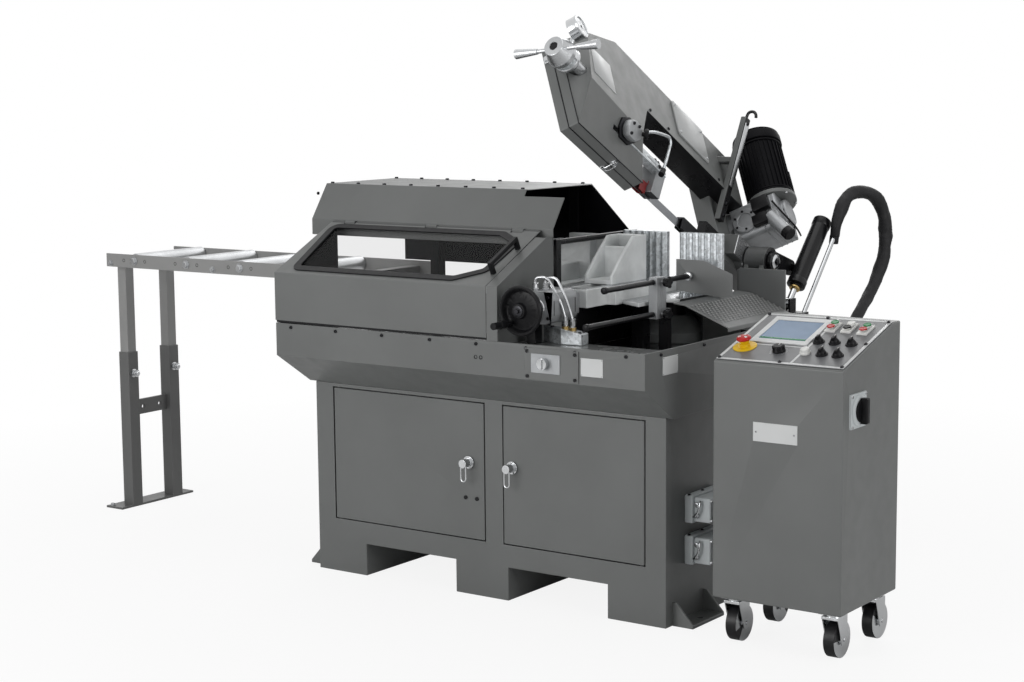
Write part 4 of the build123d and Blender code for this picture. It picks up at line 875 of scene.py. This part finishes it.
soften("gearbox", ALLOY, 16)
soften("drive_motor", BLACK_SATIN, 5, motor_finish)


# Pendant
def pendant_finish(center, normal):
    x, y, z = center / MM
    if z < 129:
        return CHROME
    if x > 1191.2:
        return SOCKET_GREY
    if y < -448.3:
        return PALE_TRIM
    return BLACK_PLASTIC if y > -103.5 else None


soften("pendant_cabinet", GREY, 4, pendant_finish)
for side in ("left", "right"):
    soften("front_" + side + "_fork", CHROME, 1.5)


CASTER_Y = (-376, -152)
CASTER_RADIUS = 50
CASTER_HUB = 15


def tyre_finish(center, normal):
    away = min((center.y / MM - y) ** 2 for y in CASTER_Y)
    radius = ((center.z / MM - CASTER_RADIUS) ** 2 + away) ** 0.5
    return CHROME if radius < CASTER_HUB else None


for node in ("front_left_wheel", "front_right_wheel", "rear_wheels"):
    soften(node, TYRE, 6, tyre_finish)


LAMP = (233, 82)


def panel_finish(center, normal):
    x, s, height = local(PANEL, center)
    screen = 60 < x < 200 and 146 < s < 272 and height < 5.2
    screen_frame = 43 < x < 217 and 123 < s < 295
    stop_ring = x < 90 and s < 124
    lamp = (x - LAMP[0]) ** 2 + (s - LAMP[1]) ** 2 < 16 ** 2
    if height < 3.05:
        return None
    if screen:
        return SCREEN
    if screen_frame:
        return PALE_TRIM
    if stop_ring:
        return YELLOW
    return WHITE if lamp or s > 215 else BLACK_PLASTIC


soften("control_panel", PANEL_GREY, 1.5, panel_finish)
soften("main_switch", BLACK_PLASTIC, 4)
soften("power_sockets", SOCKET_GREY, 5)

# Controls of the panel
ESTOP = (49, 91)
SPEED = (156, 81)
SELECTORS = ((237, 155), (283, 156), (332, 155), (281, 81), (327, 81))
TWINS = ((235, 250), (282, 252), (331, 247))

estop = Kit("estop_mushroom", "estop_button", "red_plastic", PANEL)
estop.turned((*ESTOP, 9), UP, [(0, 11), (6, 12), (12, 14), (16, 17)], YELLOW)
mushroom = [(0, 17), (1, 19.4), (3, 20), (6, 19.4), (9, 16.5), (11, 11), (11.5, 0)]
estop.turned((*ESTOP, 24.5), UP, mushroom, RED)
for angle in around(3):
    estop.box((-3, 3), (7, 15), (34.2, 36), WHITE, 0.5, turned_by((*ESTOP, 0), angle))
estop.done("estop_button")

speed = Kit("speed_dial", "speed_knob", "black_plastic", PANEL)
knob = [(0, 18), (3, 18), (5, 16.5), (16, 14.5), (17.5, 13), (17.5, 0)]
speed.turned((*SPEED, 3.4), UP, knob, BLACK_PLASTIC)
for angle in around(18):
    speed.box((14.3, 17.2), (-1, 1), (8, 19), BLACK_PLASTIC, 0.4, turned_by((*SPEED, 0), angle))
speed.box((SPEED[0] - 1, SPEED[0] + 1), (SPEED[1] + 2, SPEED[1] + 12.5), (20.6, 21.4), WHITE, 0.3)
speed.done("speed_knob")

LEVER = ((-3.4, -12), (3.4, -12), (4.2, 4), (2, 12), (-2, 12), (-4.2, 4))
for number, (x, s) in enumerate(SELECTORS, 1):
    selector = Kit("selector_lever_" + str(number), "selector_" + str(number), "black_plastic", PANEL)
    selector.turned((x, s, 7.4), UP, [(0, 13), (3, 12.4), (9, 9), (10, 8), (10, 0)], BLACK_PLASTIC)
    lever = [(x + across, s + along) for across, along in LEVER]
    selector.plate(lever, 13, 23.5, BLACK_PLASTIC, 1.5)
    selector.box((x - 0.8, x + 0.8), (s + 4, s + 11), (23.2, 23.9), WHITE, 0.25)
    selector.done("selector_" + str(number))

CAPS = ((RED, GREEN), (BLACK_PLASTIC, WHITE), (RED, GREEN))
for number, ((x, s), (lower, upper)) in enumerate(zip(TWINS, CAPS), 1):
    twin = Kit("twin_caps_" + str(number), "twin_button_" + str(number), "red_plastic", PANEL)
    twin.box((x - 9.5, x + 9.5), (s - 24, s + 24), (12.6, 14), WHITE, 0.5)
    for shift, finish in ((-13.5, lower), (13.5, upper)):
        twin.turned((x, s + shift, 13.6), UP, [(0, 11), (2, 11), (3.4, 9.8), (3.2, 6), (3.0, 0)], finish)
    twin.done("twin_button_" + str(number))

face = Kit("panel_fittings", "machine", "panel_grey", PANEL)
BORDER = 8.5
SPAN_X = (5, 377)
SPAN_S = (8, 316)
INNER_X = (SPAN_X[0] + BORDER, SPAN_X[1] - BORDER)
INNER_S = (SPAN_S[0] + BORDER, SPAN_S[1] - BORDER)
for x in ((SPAN_X[0], INNER_X[0]), (INNER_X[1], SPAN_X[1])):
    face.box(x, SPAN_S, (2.6, 3.6), PALE_TRIM, 0.3)
for s in ((SPAN_S[0], INNER_S[0]), (INNER_S[1], SPAN_S[1])):
    face.box(INNER_X, s, (2.6, 3.6), PALE_TRIM, 0.3)
MIDDLE = (219, 226)
DIVIDE = 124
BARS = (
    (MIDDLE, (INNER_S[0], DIVIDE)),
    (MIDDLE, (DIVIDE, INNER_S[1])),
    ((INNER_X[0], MIDDLE[0]), (112, 118)),
)
for x, s in BARS:
    face.box(x, s, (2.6, 3.5), PALE_TRIM, 0.3)
for x, s in product((12, 191, 370), (15, 162, 309)):
    if x != 191 or s != 162:
        face.cap_screw((x, s, 3.4), UP, 5)
for tick in range(21):
    angle = radians(225 - tick * 13.5)
    size = 5 if tick % 5 == 0 else 3
    face.box((22, 22 + size), (-0.5, 0.5), (2.7, 3.35), PALE_TRIM, 0.1, turned_by((*SPEED, 0), angle))
for x, s in SELECTORS:
    face.turned((x, s, 2.8), UP, [(0, 16.5), (2, 16.5), (4, 15), (4, 12)], BLACK_PLASTIC)
face.turned((*ESTOP, 2.8), UP, [(0, 33), (2.4, 33), (2.9, 32), (2.9, 14), (0.5, 13.6)], YELLOW)
face.turned((*LAMP, 7), UP, [(0, 13), (3, 13), (9, 12), (12, 8), (13, 0)], WHITE)
face.box((62, 198), (152, 160), (5.0, 5.6), GREEN, 0.2)
face.box((40, 43.5), (122, 296), (2.8, 6), PANEL_GREY, 0.5)
face.done()

cabinet = Kit("pendant_fittings", "machine", "machine_paint")
cabinet.turned((1196.5, -368, 666), RIGHT, [(0, 42), (2, 42), (5, 39), (6, 36), (6, 31)], SOCKET_GREY)
for y, z in product((-408, -328), (626, 706)):
    cabinet.screw((1196.6, y, z), RIGHT, 4, STEEL, BLACK)
for x in (940, 1052):
    cabinet.screw((x, -449.6, 597.5), NEAR, 3, STEEL, BLACK)
for z in (250, 480, 710):
    cabinet.rod((830, -101.5, z), UP, 5, 60, BLACK_STEEL)
    cabinet.box((815, 845), (-104.5, -101), (z, z + 60), GREY, 0.8)
cabinet.turned((1160, -104.5, 500), FAR, [(0, 14), (4, 14), (6, 12), (6, 0)], BLACK_PLASTIC)
for z in range(560, 701, 20):
    cabinet.box((930, 1070), (-104.5, -102.6), (z, z + 7), BLACK_SATIN, 0.8)
cabinet.done()

sockets = Kit("socket_fittings", "machine", "socket_grey")
for low, high in ((285, 365), (165, 250)):
    for y, z in product((-290, -154), (low + 12, high - 12)):
        sockets.screw((716.8, y, z), RIGHT, 4, STEEL, BLACK)
    bail = [(664, -302, low + 20), (670, -308, low + 20), (684, -309, low + 34),
            (690, -308, high - 20), (688, -302, high - 12)]
    sockets.wire(bail, 3, CHROME)
    for z in (low + 25, high - 25):
        sockets.bolt((676, -302.4, z), NEAR, 5, CHROME)
    for y in (-296, -222, -148):
        sockets.bolt((649, y, high - 0.2), UP, 4, BLACK_STEEL)
sockets.done()

# Tray, guard and hood fittings
fittings = Kit("tray_fittings", "machine", "machine_paint")
for x in (-597, -420, -243, -66, 100, 272, 436, 600):
    fittings.cap_screw((x, TRAY_FACE, 784), NEAR, 5)
plug = [(0, 6), (1.2, 6), (1.4, 4), (0.4, 3.6), (0.4, 0)]
for x in (98, 116):
    fittings.turned((x, TRAY_FACE + 0.5, 746), NEAR, plug, BLACK)
for y in (-470, -235, 0, 235, 400):
    fittings.cap_screw((659, y, 784), RIGHT, 5)
    fittings.cap_screw((-659, y, 784), LEFT, 5)
for x, z in product((458, 523), (723, 767)):
    fittings.screw((x, TRAY_FACE - 1.2, z), NEAR, 1.8, STEEL)
for y, z in product((-457, -383), (728, 772)):
    fittings.screw((660.2, y, z), RIGHT, 1.8, STEEL)
fittings.done()

HOOD_TOP = 1199.8
hood = Kit("hood_screws", "machine", "machine_paint")
for x in range(-735, 8, 106):
    hood.cap_screw((x, -182, HOOD_TOP), UP, 6)
    hood.cap_screw((x, 145, HOOD_TOP), UP, 6)
for x in range(-735, 98, 104):
    hood.cap_screw((x, 160, 1120), FAR, 5)
for y in (-235, -130, -20, 90):
    hood.cap_screw((-750, y, 1170), LEFT, 5)
hood.done()

# Roller table fittings
RAIL_SIDES = ((-148, NEAR), (192, FAR))
ROLLER_Z = 902
# Black cups for the holes beside each roller bolt: painted shade in the holes.
HOLE = [(0, 6), (0.6, 6), (0.7, 4.6), (0.2, 4.4), (0.2, 0)]
rails = Kit("rail_fittings", "machine", "table_paint")
for x, (y, out) in product((-1685, -1433, -1183, -933), RAIL_SIDES):
    rails.bolt((x, y, ROLLER_Z), out, 11, CHROME)
    for shift in (-52, 52):
        rails.turned((x + shift, y - 0.3 * out[1], ROLLER_Z), out, HOLE, BLACK)
for x, (y, out) in product((-1803, -1308, -695), RAIL_SIDES):
    rails.bolt((x, y, 890), out, 8, STEEL)
rails.done()

stand = Kit("stand_fittings", "table_stand", "table_paint")
for y in (-79, 123):
    stand.bolt((-1763, y, 488), RIGHT, 9, CHROME)
    stand.turned((-1779, y, 488), RIGHT, [(-0.2, 15), (2, 15), (3, 13), (3, 9)], CHROME)
for y in (-140, 184):
    stand.bolt((-1845, y, 8), UP, 8, STEEL)
stand.done()

# Vise fittings
SCREW_X = 255
SCREW_Z = 887
wheel = Kit("handwheel_boss", "vise_handwheel", "black_plastic")
wheel.turned((SCREW_X, -564.5, SCREW_Z), NEAR, [(0, 17), (3, 16), (4, 13), (4, 0)], BLACK_STEEL)
wheel.bolt((SCREW_X, -568, SCREW_Z), NEAR, 7, BLACK_STEEL)
grip = [(0, 9), (3, 11), (14, 12), (24, 10.8), (30, 11.4), (33, 9), (34, 0)]
wheel.turned((SCREW_X - 38, -569, SCREW_Z - 38), NEAR, grip, BLACK_PLASTIC)
wheel.done()

clamp = Kit("cylinder_fittings", "machine", "cylinder_alloy")
for y in (-452, -345):
    clamp.box((209.2, 300.8), (y - 1.5, y + 1.5), (866, 908), BLACK_STEEL, 0.5)
    clamp.box((236, 274), (y - 1.5, y + 1.5), (933.4, 934.6), BLACK_STEEL, 0.4)
for x, z in product((222, 288), (858, 916)):
    clamp.cap_screw((x, -464, z), NEAR, 5)
for x, y in ((228, -440), (250, -420)):
    clamp.turned((x, y, 929), UP, [(0, 11), (9, 11), (10, 9), (24, 9), (25, 8)], CHROME, 6)
for x, y, z in ((316, -418, 824), (338, -414, 821)):
    clamp.turned((x, y, z), UP, [(0, 11), (9, 11), (10, 9)], BRASS, 6)
    clamp.turned((x, y, z + 14), UP, [(0, 9.5), (12, 9.5), (13, 8)], CHROME, 6)
clamp.turned((SCREW_X, -465.5, SCREW_Z), NEAR, [(-1, 24), (4, 24), (6, 22), (6, 13)], CHROME)
for x, y in ((262, -404), (362, -416), (362, -396)):
    clamp.cap_screw((x, y, 826.5 if x < 300 else 815.8), UP, 5)
clamp.done()

# Outfeed fittings
ROD_CAP = [(0, 7), (2, 10), (12, 10), (13, 8)]
outfeed = Kit("outfeed_fittings", "machine", "black_plastic")
for z in (850, 943):
    for angle in around(5):
        outfeed.rod((489, -150 + 12 * cos(angle), z + 12 * sin(angle)), RIGHT, 5.5, 10, BLACK_PLASTIC, 2)
for rib in range(5):
    outfeed.box((440.2, 469.8), (-173 + rib * 11, -168 + rib * 11), (858, 934), ALLOY, 0.8)
outfeed.turned((455, -531, 850), FAR, ROD_CAP, BLACK_PLASTIC)
outfeed.done()

DIMPLE = [(0, 4), (0.9, 3.2), (1.4, 1.6), (1.5, 0)]
DIMPLE_GAP = 19
ROW_GAP = 10.5
sheet = Kit("chute_dimples", "machine", "chute_paint")
slope = Vector((140, 0, -57)).normalized()
lift_out = Vector((57, 0, 140)).normalized()
for row, column in product(range(11), range(20)):
    shift = Vector((0, column * DIMPLE_GAP + (row % 2) * DIMPLE_GAP / 2, 0))
    start = Vector((535, -85, 869)) + slope * row * ROW_GAP + shift
    # The dimples are drawn in the lighter table paint: a painted highlight on the bumps of the grey chute
    # sheet.
    sheet.turned(start + lift_out * 2, lift_out, DIMPLE, TABLE_GREY, 12)
sheet.done()

guide = Kit("deflector_fittings", "chute_guide", "chute_paint")
guide.turned((455, -438, 943), FAR, ROD_CAP, BLACK_PLASTIC)
guide.turned((455, 22, 943), FAR, [(0, 10), (2, 13), (12, 13), (14, 11)], CHROME)
guide.bolt((455, 36.8, 943), NEAR, 9, CHROME)
guide.done()

# Pivot and lift fittings
pivot = Kit("pivot_fittings", "machine", "machine_paint")
collar = [(0, 44.5), (1.2, 44.5), (1.9, 43), (1.9, 33), (0.6, 32), (0.6, 21)]
pivot.turned((499.5, *PIVOT), RIGHT, collar, BLACK)
for angle in around(4, pi / 4):
    spot = (498.9, PIVOT[0] + 38 * cos(angle), PIVOT[1] + 38 * sin(angle))
    pivot.screw(spot, RIGHT, 3.4, STEEL, BLACK)
for y, x in product((330, 425), (450, 575)):
    pivot.bolt((x, y, 754), UP, 8, STEEL)
pivot.done()

hub = Kit("pivot_hub", "arm", "bright_steel")
hub.turned((516.2, *PIVOT), RIGHT, [(-1, 24), (3, 24), (5, 21), (5, 12), (3, 11), (3, 0)], CHROME)
hub.bolt((519, *PIVOT), RIGHT, 8, BLACK_STEEL)
hub.done()

lift_way = Vector((0, 99, 103)).normalized()
foot = Vector((555, 473, 822))
ram = Kit("lift_fittings", "lift_cylinder", "black_steel")
ram.turned(foot + lift_way * 72, lift_way, [(0, 26), (2, 30), (22, 30), (25, 28.2)], BLACK)
ram.turned(foot + lift_way * 312, lift_way, [(0, 28.2), (3, 30), (24, 30), (28, 26), (29, 0)], BLACK)
ram.turned(foot + lift_way * 58, lift_way, [(0, 15), (2, 17), (7, 17), (9, 15)], BRASS, 32)
ram.done()

# Saw arm fittings
RIM = ((667, -25), (1046, -25), (1066, 250), (930, 345), (667, 345))


def grown(outline, amount):
    """Outline with each side moved outwards; the points run anticlockwise."""
    moved = []
    count = len(outline)
    for index in range(count):
        before = Vector(outline[index - 1])
        here = Vector(outline[index])
        after = Vector(outline[(index + 1) % count])
        first = (here - before).normalized()
        second = (after - here).normalized()
        out_first = Vector((first.y, -first.x))
        out_second = Vector((second.y, -second.x))
        corner = (out_first + out_second) / (1 + out_first.dot(out_second))
        moved.append(tuple(here + corner * amount))
    return moved


def add_band(kit, outline, low, high, proud, finish):
    """Strip round an outline, standing a little proud of it."""
    outer = grown(outline, proud)
    shape = bmesh.new()
    rings = []
    for points, height in ((outline, low), (outer, low), (outer, high), (outline, high)):
        rings.append([shape.verts.new((x, y, height)) for x, y in points])
    bridge(shape, rings + rings[:1])
    kit.take(shape, finish)


def add_toggle(kit, cover, matrix):
    """Draw latch across the seam: x along the rim, y off its surface, z across the seam to the cover."""
    kit.box((-11, 11), (0, 2.5), (-27, -5), CHROME, 0.6, matrix)
    kit.box((-8, 8), (2, 9), (-22, -10), CHROME, 1.5, matrix)
    loop = ((-9, 8, -14), (-9, 11, 4), (-8, 9, 20), (8, 9, 20), (9, 11, 4), (9, 8, -14))
    kit.wire([matrix @ Vector(point) for point in loop], 1.8, CHROME)
    cover.box((-10, 10), (0, 2.5), (10, 26), CHROME, 0.6, matrix)
    cover.box((-7, 7), (2, 7), (14, 17.5), CHROME, 0.8, matrix)


bow = Kit("arm_fittings", "arm", "machine_paint", BOW)
latch_hooks = Kit("cover_hooks", "wheel_cover", "chrome_parts", BOW)
add_band(bow, RIM, -0.8, 2.2, 0.7, BLACK)
add_band(bow, RIM, -31.2, -28.4, 0.9, BLACK)
lower_latch = axes_at((814, -25, 0), LEFT, NEAR)
end_way = Vector((-20, -275, 0)).normalized()
end_latch = axes_at((1063, 211, 0), (-end_way.x, -end_way.y, 0), (275, -20, 0))
add_toggle(bow, latch_hooks, lower_latch)
add_toggle(bow, latch_hooks, end_latch)
bow.plate([(866, 150), (990, 158), (980, 256), (866, 256)], -86.2, -84.5, PLATE_GREY, 0.5)
plate_outline = [(220, 262), (416, 262), (424, 270), (424, 386),
                 (416, 394), (220, 394), (212, 386), (212, 270)]
bow.plate(plate_outline, -91, -84.5, PLATE_GREY, 2.5)
for p, q in ((226, 276), (410, 276), (410, 380), (226, 380)):
    bow.screw((p, q, -91), DOWN, 4, STEEL)
for p in (150, 500, 620):
    bow.cap_screw((p, 238, -85), DOWN, 5)
bow.done()
latch_hooks.done()

gauge = Kit("tension_gauge", "arm", "chrome_parts", BOW)
GAUGE = (1094, 237)
TENSION = (158, -52)
bezel = [(-1, 33.6), (24, 33.6), (26, 35), (31, 35), (32.5, 33), (32.5, 29), (30, 28.5)]
gauge.turned((*GAUGE, -86), DOWN, bezel, CHROME, 48)
gauge.turned((*GAUGE, -113.2), DOWN, [(0, 29), (1.2, 29), (1.3, 0)], DIAL, 48)
for tick in range(25):
    angle = radians(225 - tick * 11.25)
    size = 6 if tick % 4 == 0 else 3.5
    turn = turned_by((*GAUGE, -114.9), angle)
    gauge.box((27 - size, 27), (-0.45, 0.45), (0, 0.6), BLACK_STEEL, 0.1, turn)
needle = [(-8, -1.6), (0, -2), (22, -0.4), (22, 0.4), (0, 2), (-8, 1.6)]
gauge.plate(needle, 0, 0.9, BLACK_STEEL, 0.2, turned_by((*GAUGE, -116), radians(75)))
gauge.turned((*GAUGE, -114.5), DOWN, [(0, 4), (2, 4), (2.5, 3), (2.5, 0)], BLACK_STEEL, 24)
gauge.turned((1079, *TENSION), RIGHT, [(0, 36.5), (2, 38), (10, 38), (12, 36.3)], STEEL, 48)
gauge.turned((1066, *TENSION), RIGHT, [(0, 26), (12, 28)], BLACK, 40)
gauge.done()

handle = Kit("tension_fittings", "tension_handle", "cylinder_alloy", BOW)
handle.turned((1165.5, *TENSION), RIGHT, [(-1, 14), (0.6, 13.4), (-6, 12), (-6, 0)], BLACK, 6)
handle.turned((1111.6, *TENSION), RIGHT, [(0, 38), (1.2, 41.5), (1.4, 38)], BLACK, 48)
handle.done()

slide = Kit("guide_clamp", "arm", "cylinder_alloy",
            BOW @ axes_at((805, 62, -71), LEFT, (0, 0.905, -0.425)))
clamp_face = [(-48, -8), (-34, -36), (14, -38), (48, -12), (44, 30), (-8, 40), (-40, 24)]
slide.plate(clamp_face, -4, 5, BLACK_STEEL, 1.5)
slide.plate([(x * 0.82, y * 0.8) for x, y in clamp_face], 4, 30, ALLOY, 8)
knob = [(0, 7), (12, 7), (13, 15), (20, 16), (24, 13), (24, 0)]
slide.turned((34, 8, 22), (0.5, 0.1, 0.86), knob, BLACK_PLASTIC, 12)
for x, y in ((-22, -18), (-20, 14), (10, 18)):
    slide.cap_screw((x, y, 29.6), UP, 5)
slide.done()

coolant = Kit("guide_tube", "guide_arm", "bright_steel", BOW)
pipe = [(742, 74, -108), (715, 92, -112), (560, 172, -96), (514, 196, -88),
        (512, 176, -86), (520, 160, -84), (585, 60, -80), (600, 34, -76)]
coolant.wire(pipe, 4.5, ZINC)
coolant.turned((602, 30, -76), (0.55, -0.8, 0.2), [(-6, 7), (6, 7), (8, 9), (22, 9)], BLACK_PLASTIC, 20)
for p in (572, 590):
    coolant.turned((p, 82, -50), FAR, [(-8, 10), (6, 10), (8, 8), (8, 0)], BLACK_PLASTIC, 6)
    coolant.cap_screw((p, 58, -62), DOWN, 6)
for step in range(14):
    size = 14 if step % 5 == 0 else 8
    mark = 612 + step * 4
    coolant.box((mark - 0.4, mark + 0.4), (52, 52 + size), (-62.3, -61.5), BLACK_STEEL, 0.1)
coolant.done()

# Gearbox and motor fittings
DRIVE = (-62, 157)
gears = Kit("gearbox_fittings", "arm", "cylinder_alloy", BOW)
for rib in range(3):
    height = -150 - rib * 18
    outline = [(-134, 96), (-118, 84), (-6, 84), (10, 96), (10, 204), (-134, 204)]
    gears.plate(outline, height - 2, height + 2, ALLOY, 1.2)
gears.turned((7, 147, -92), RIGHT, [(0, 42), (7, 42), (10, 39), (10, 26), (7, 24), (7, 0)], ALLOY, 56)
for angle in around(6):
    gears.cap_screw((16.5, 147 + 33 * cos(angle), -92 + 33 * sin(angle)), RIGHT, 4)
    spot = (DRIVE[0] + 42 * cos(angle), 147 + 42 * sin(angle), -213)
    gears.cap_screw(spot, DOWN, 4.5)
gears.turned((DRIVE[0], 147, -204), DOWN, [(0, 52), (8, 52), (10, 49), (10, 36)], ALLOY, 56)
gears.turned((*DRIVE, -219), DOWN, [(0, 44), (3, 42), (4, 36), (2, 34), (2, 0)], ALLOY, 48)
gears.rod((14, 128, -176), (0, -0.9, -0.44), 20, 92, ALLOY, 2)
gears.turned((14, 46, -216), (0, -0.9, -0.44), [(-3, 21), (16, 21), (20, 18), (20, 0)], BLACK_PLASTIC, 32)
gears.box((12, 38), (150, 196), (-186, -130), BLACK_PLASTIC, 3)
gears.box((12, 32), (104, 140), (-172, -120), BLACK_PLASTIC, 3)
gears.wire([(-140, 110, -212), (-70, 96, -228), (10, 120, -216), (20, 170, -196)], 3, BLACK_PLASTIC)
gears.done()

MOTOR_R = -170
engine = Kit("motor_fittings", "arm", "black_steel", BOW)
for angle in around(30):
    turn = turned_by((DRIVE[0], 0, MOTOR_R), angle, "Y")
    engine.box((70, 76), (240, 414), (-1.3, 1.3), BLACK_SATIN, 0.8, turn)
for start, radius in ((221, 78.5), (231, 75), (416, 76.5)):
    ring = [(0, radius - 3), (2, radius), (7, radius), (9, radius - 3)]
    engine.turned((DRIVE[0], start, MOTOR_R), FAR, ring, BLACK_SATIN, 56)
cap = [(0, 77.4), (2, 79.5), (28, 79.5), (38, 75), (41.5, 68), (41.5, 56), (40.2, 55), (40.2, 0)]
engine.turned((DRIVE[0], 427, MOTOR_R), FAR, cap, BLACK_SATIN, 56)
for ring in (16, 27, 38, 49):
    grille = [(0, ring), (1.6, ring), (1.6, ring - 5), (0, ring - 5)]
    engine.turned((DRIVE[0], 467, MOTOR_R), FAR, grille, BLACK_SATIN, 40)
for angle in around(6):
    engine.screw((DRIVE[0] + 76 * cos(angle), 206.6, MOTOR_R + 76 * sin(angle)), NEAR, 4, STEEL)
engine.box((-177, -173.4), (285, 379), (-220, -120), BLACK_SATIN, 1.2)
for q, r in product((293, 371), (-212, -128)):
    engine.screw((-177, q, r), LEFT, 4, STEEL)
engine.turned((-148, 289, MOTOR_R), NEAR, [(0, 14), (10, 14), (12, 11), (22, 11)], BLACK_PLASTIC, 6)
engine.done()

tall = Kit("tall_bar_fittings", "arm", "black_steel", CUT)
tall.box((88, 112), (250, 470), (15.2, 17.4), STEEL, 0.6)
hook = [(486, 26), (500, 26), (512, 22), (516, 8), (506, -6), (494, -8)]
tall.wire([(100, *point) for point in hook], 5, BLACK)
for above in (150, 190, 470):
    tall.cap_screw((100, above, 17.4), DOWN, 6)
tall.done()


# Floor, light and background
AMBIENT = 0.31
FLOOR_HALF = 30
FLOOR_LEVEL = -0.0005


def make_world():
    """Dim light from all round; plain white for the camera and for what metal and glass show."""
    world = bpy.data.worlds.new("studio")
    world.use_nodes = True
    scene.world = world
    tree = world.node_tree
    link = tree.links.new
    ambient = tree.nodes["Background"]
    ambient.inputs["Color"].default_value = WHITE_LIGHT
    ambient.inputs["Strength"].default_value = AMBIENT
    shown = add_node(tree, "Background", {"Color": WHITE_LIGHT, "Strength": 1.0})
    path = add_node(tree, "LightPath").outputs
    glossy = add_node(tree, "Math", operation="MAXIMUM")
    link(path["Is Camera Ray"], glossy.inputs[0])
    link(path["Is Glossy Ray"], glossy.inputs[1])
    seen = add_node(tree, "Math", operation="MAXIMUM")
    link(glossy.outputs[0], seen.inputs[0])
    link(path["Is Transmission Ray"], seen.inputs[1])
    mix = add_node(tree, "MixShader")
    link(seen.outputs[0], mix.inputs["Fac"])
    link(ambient.outputs[0], mix.inputs[1])
    link(shown.outputs[0], mix.inputs[2])
    link(mix.outputs[0], tree.nodes["World Output"].inputs["Surface"])


def make_floor():
    """Pale floor that turns to plain white away from the machine and keeps its shadow."""
    mesh = bpy.data.meshes.new("floor")
    corners = [(-1, -1), (1, -1), (1, 1), (-1, 1)]
    spots = [(x * FLOOR_HALF, y * FLOOR_HALF, FLOOR_LEVEL) for x, y in corners]
    mesh.from_pydata(spots, [], [(0, 1, 2, 3)])
    finish = Finish("floor", (0.86, 0.86, 0.86), 0.6)
    finish.tint(finish.noise(1.2, 3), 0.99, 1.01)
    tree = finish.tree
    link = tree.links.new
    glow = add_node(tree, "Emission", {"Color": WHITE_LIGHT, "Strength": 1.0})
    path = add_node(tree, "LightPath")
    away = add_node(tree, "VectorMath", operation="LENGTH")
    link(finish.place, away.inputs[0])
    values = {"From Min": 1.4, "From Max": 3.6, "To Min": 0.88, "To Max": 1.0}
    fade = finish.add("MapRange", values, away.outputs["Value"], "Value")
    share = add_node(tree, "Math", operation="MULTIPLY")
    link(path.outputs["Is Camera Ray"], share.inputs[0])
    link(fade.outputs["Result"], share.inputs[1])
    mix = add_node(tree, "MixShader")
    link(share.outputs[0], mix.inputs["Fac"])
    link(finish.shader.outputs[0], mix.inputs[1])
    link(glow.outputs[0], mix.inputs[2])
    link(mix.outputs[0], tree.nodes["Material Output"].inputs["Surface"])
    mesh.materials.append(finish.material)
    floor = bpy.data.objects.new("floor", mesh)
    scene.collection.objects.link(floor)


def make_light(name, place_at, target, power, size):
    data = bpy.data.lights.new(name, "AREA")
    data.energy = power
    data.shape = "RECTANGLE"
    data.size = size[0]
    data.size_y = size[1]
    lamp = bpy.data.objects.new(name, data)
    aim = (Vector(target) - Vector(place_at)).to_track_quat("-Z", "Y")
    lamp.matrix_world = Matrix.Translation(place_at) @ aim.to_matrix().to_4x4()
    scene.collection.objects.link(lamp)


make_world()
make_floor()
make_light("key", (-1.4, -5.2, 1.9), (0, 0, 0.8), 112, (3.2, 2.4))
make_light("top", (0.3, 0.2, 4.6), (0, 0, 0.8), 48, (4.0, 3.0))
make_light("side", (5.2, -1.2, 1.7), (0.3, 0, 0.9), 62, (2.4, 2.4))
make_light("back", (-1.5, 4.5, 3.2), (0, 0, 0.9), 45, (3.0, 2.0))
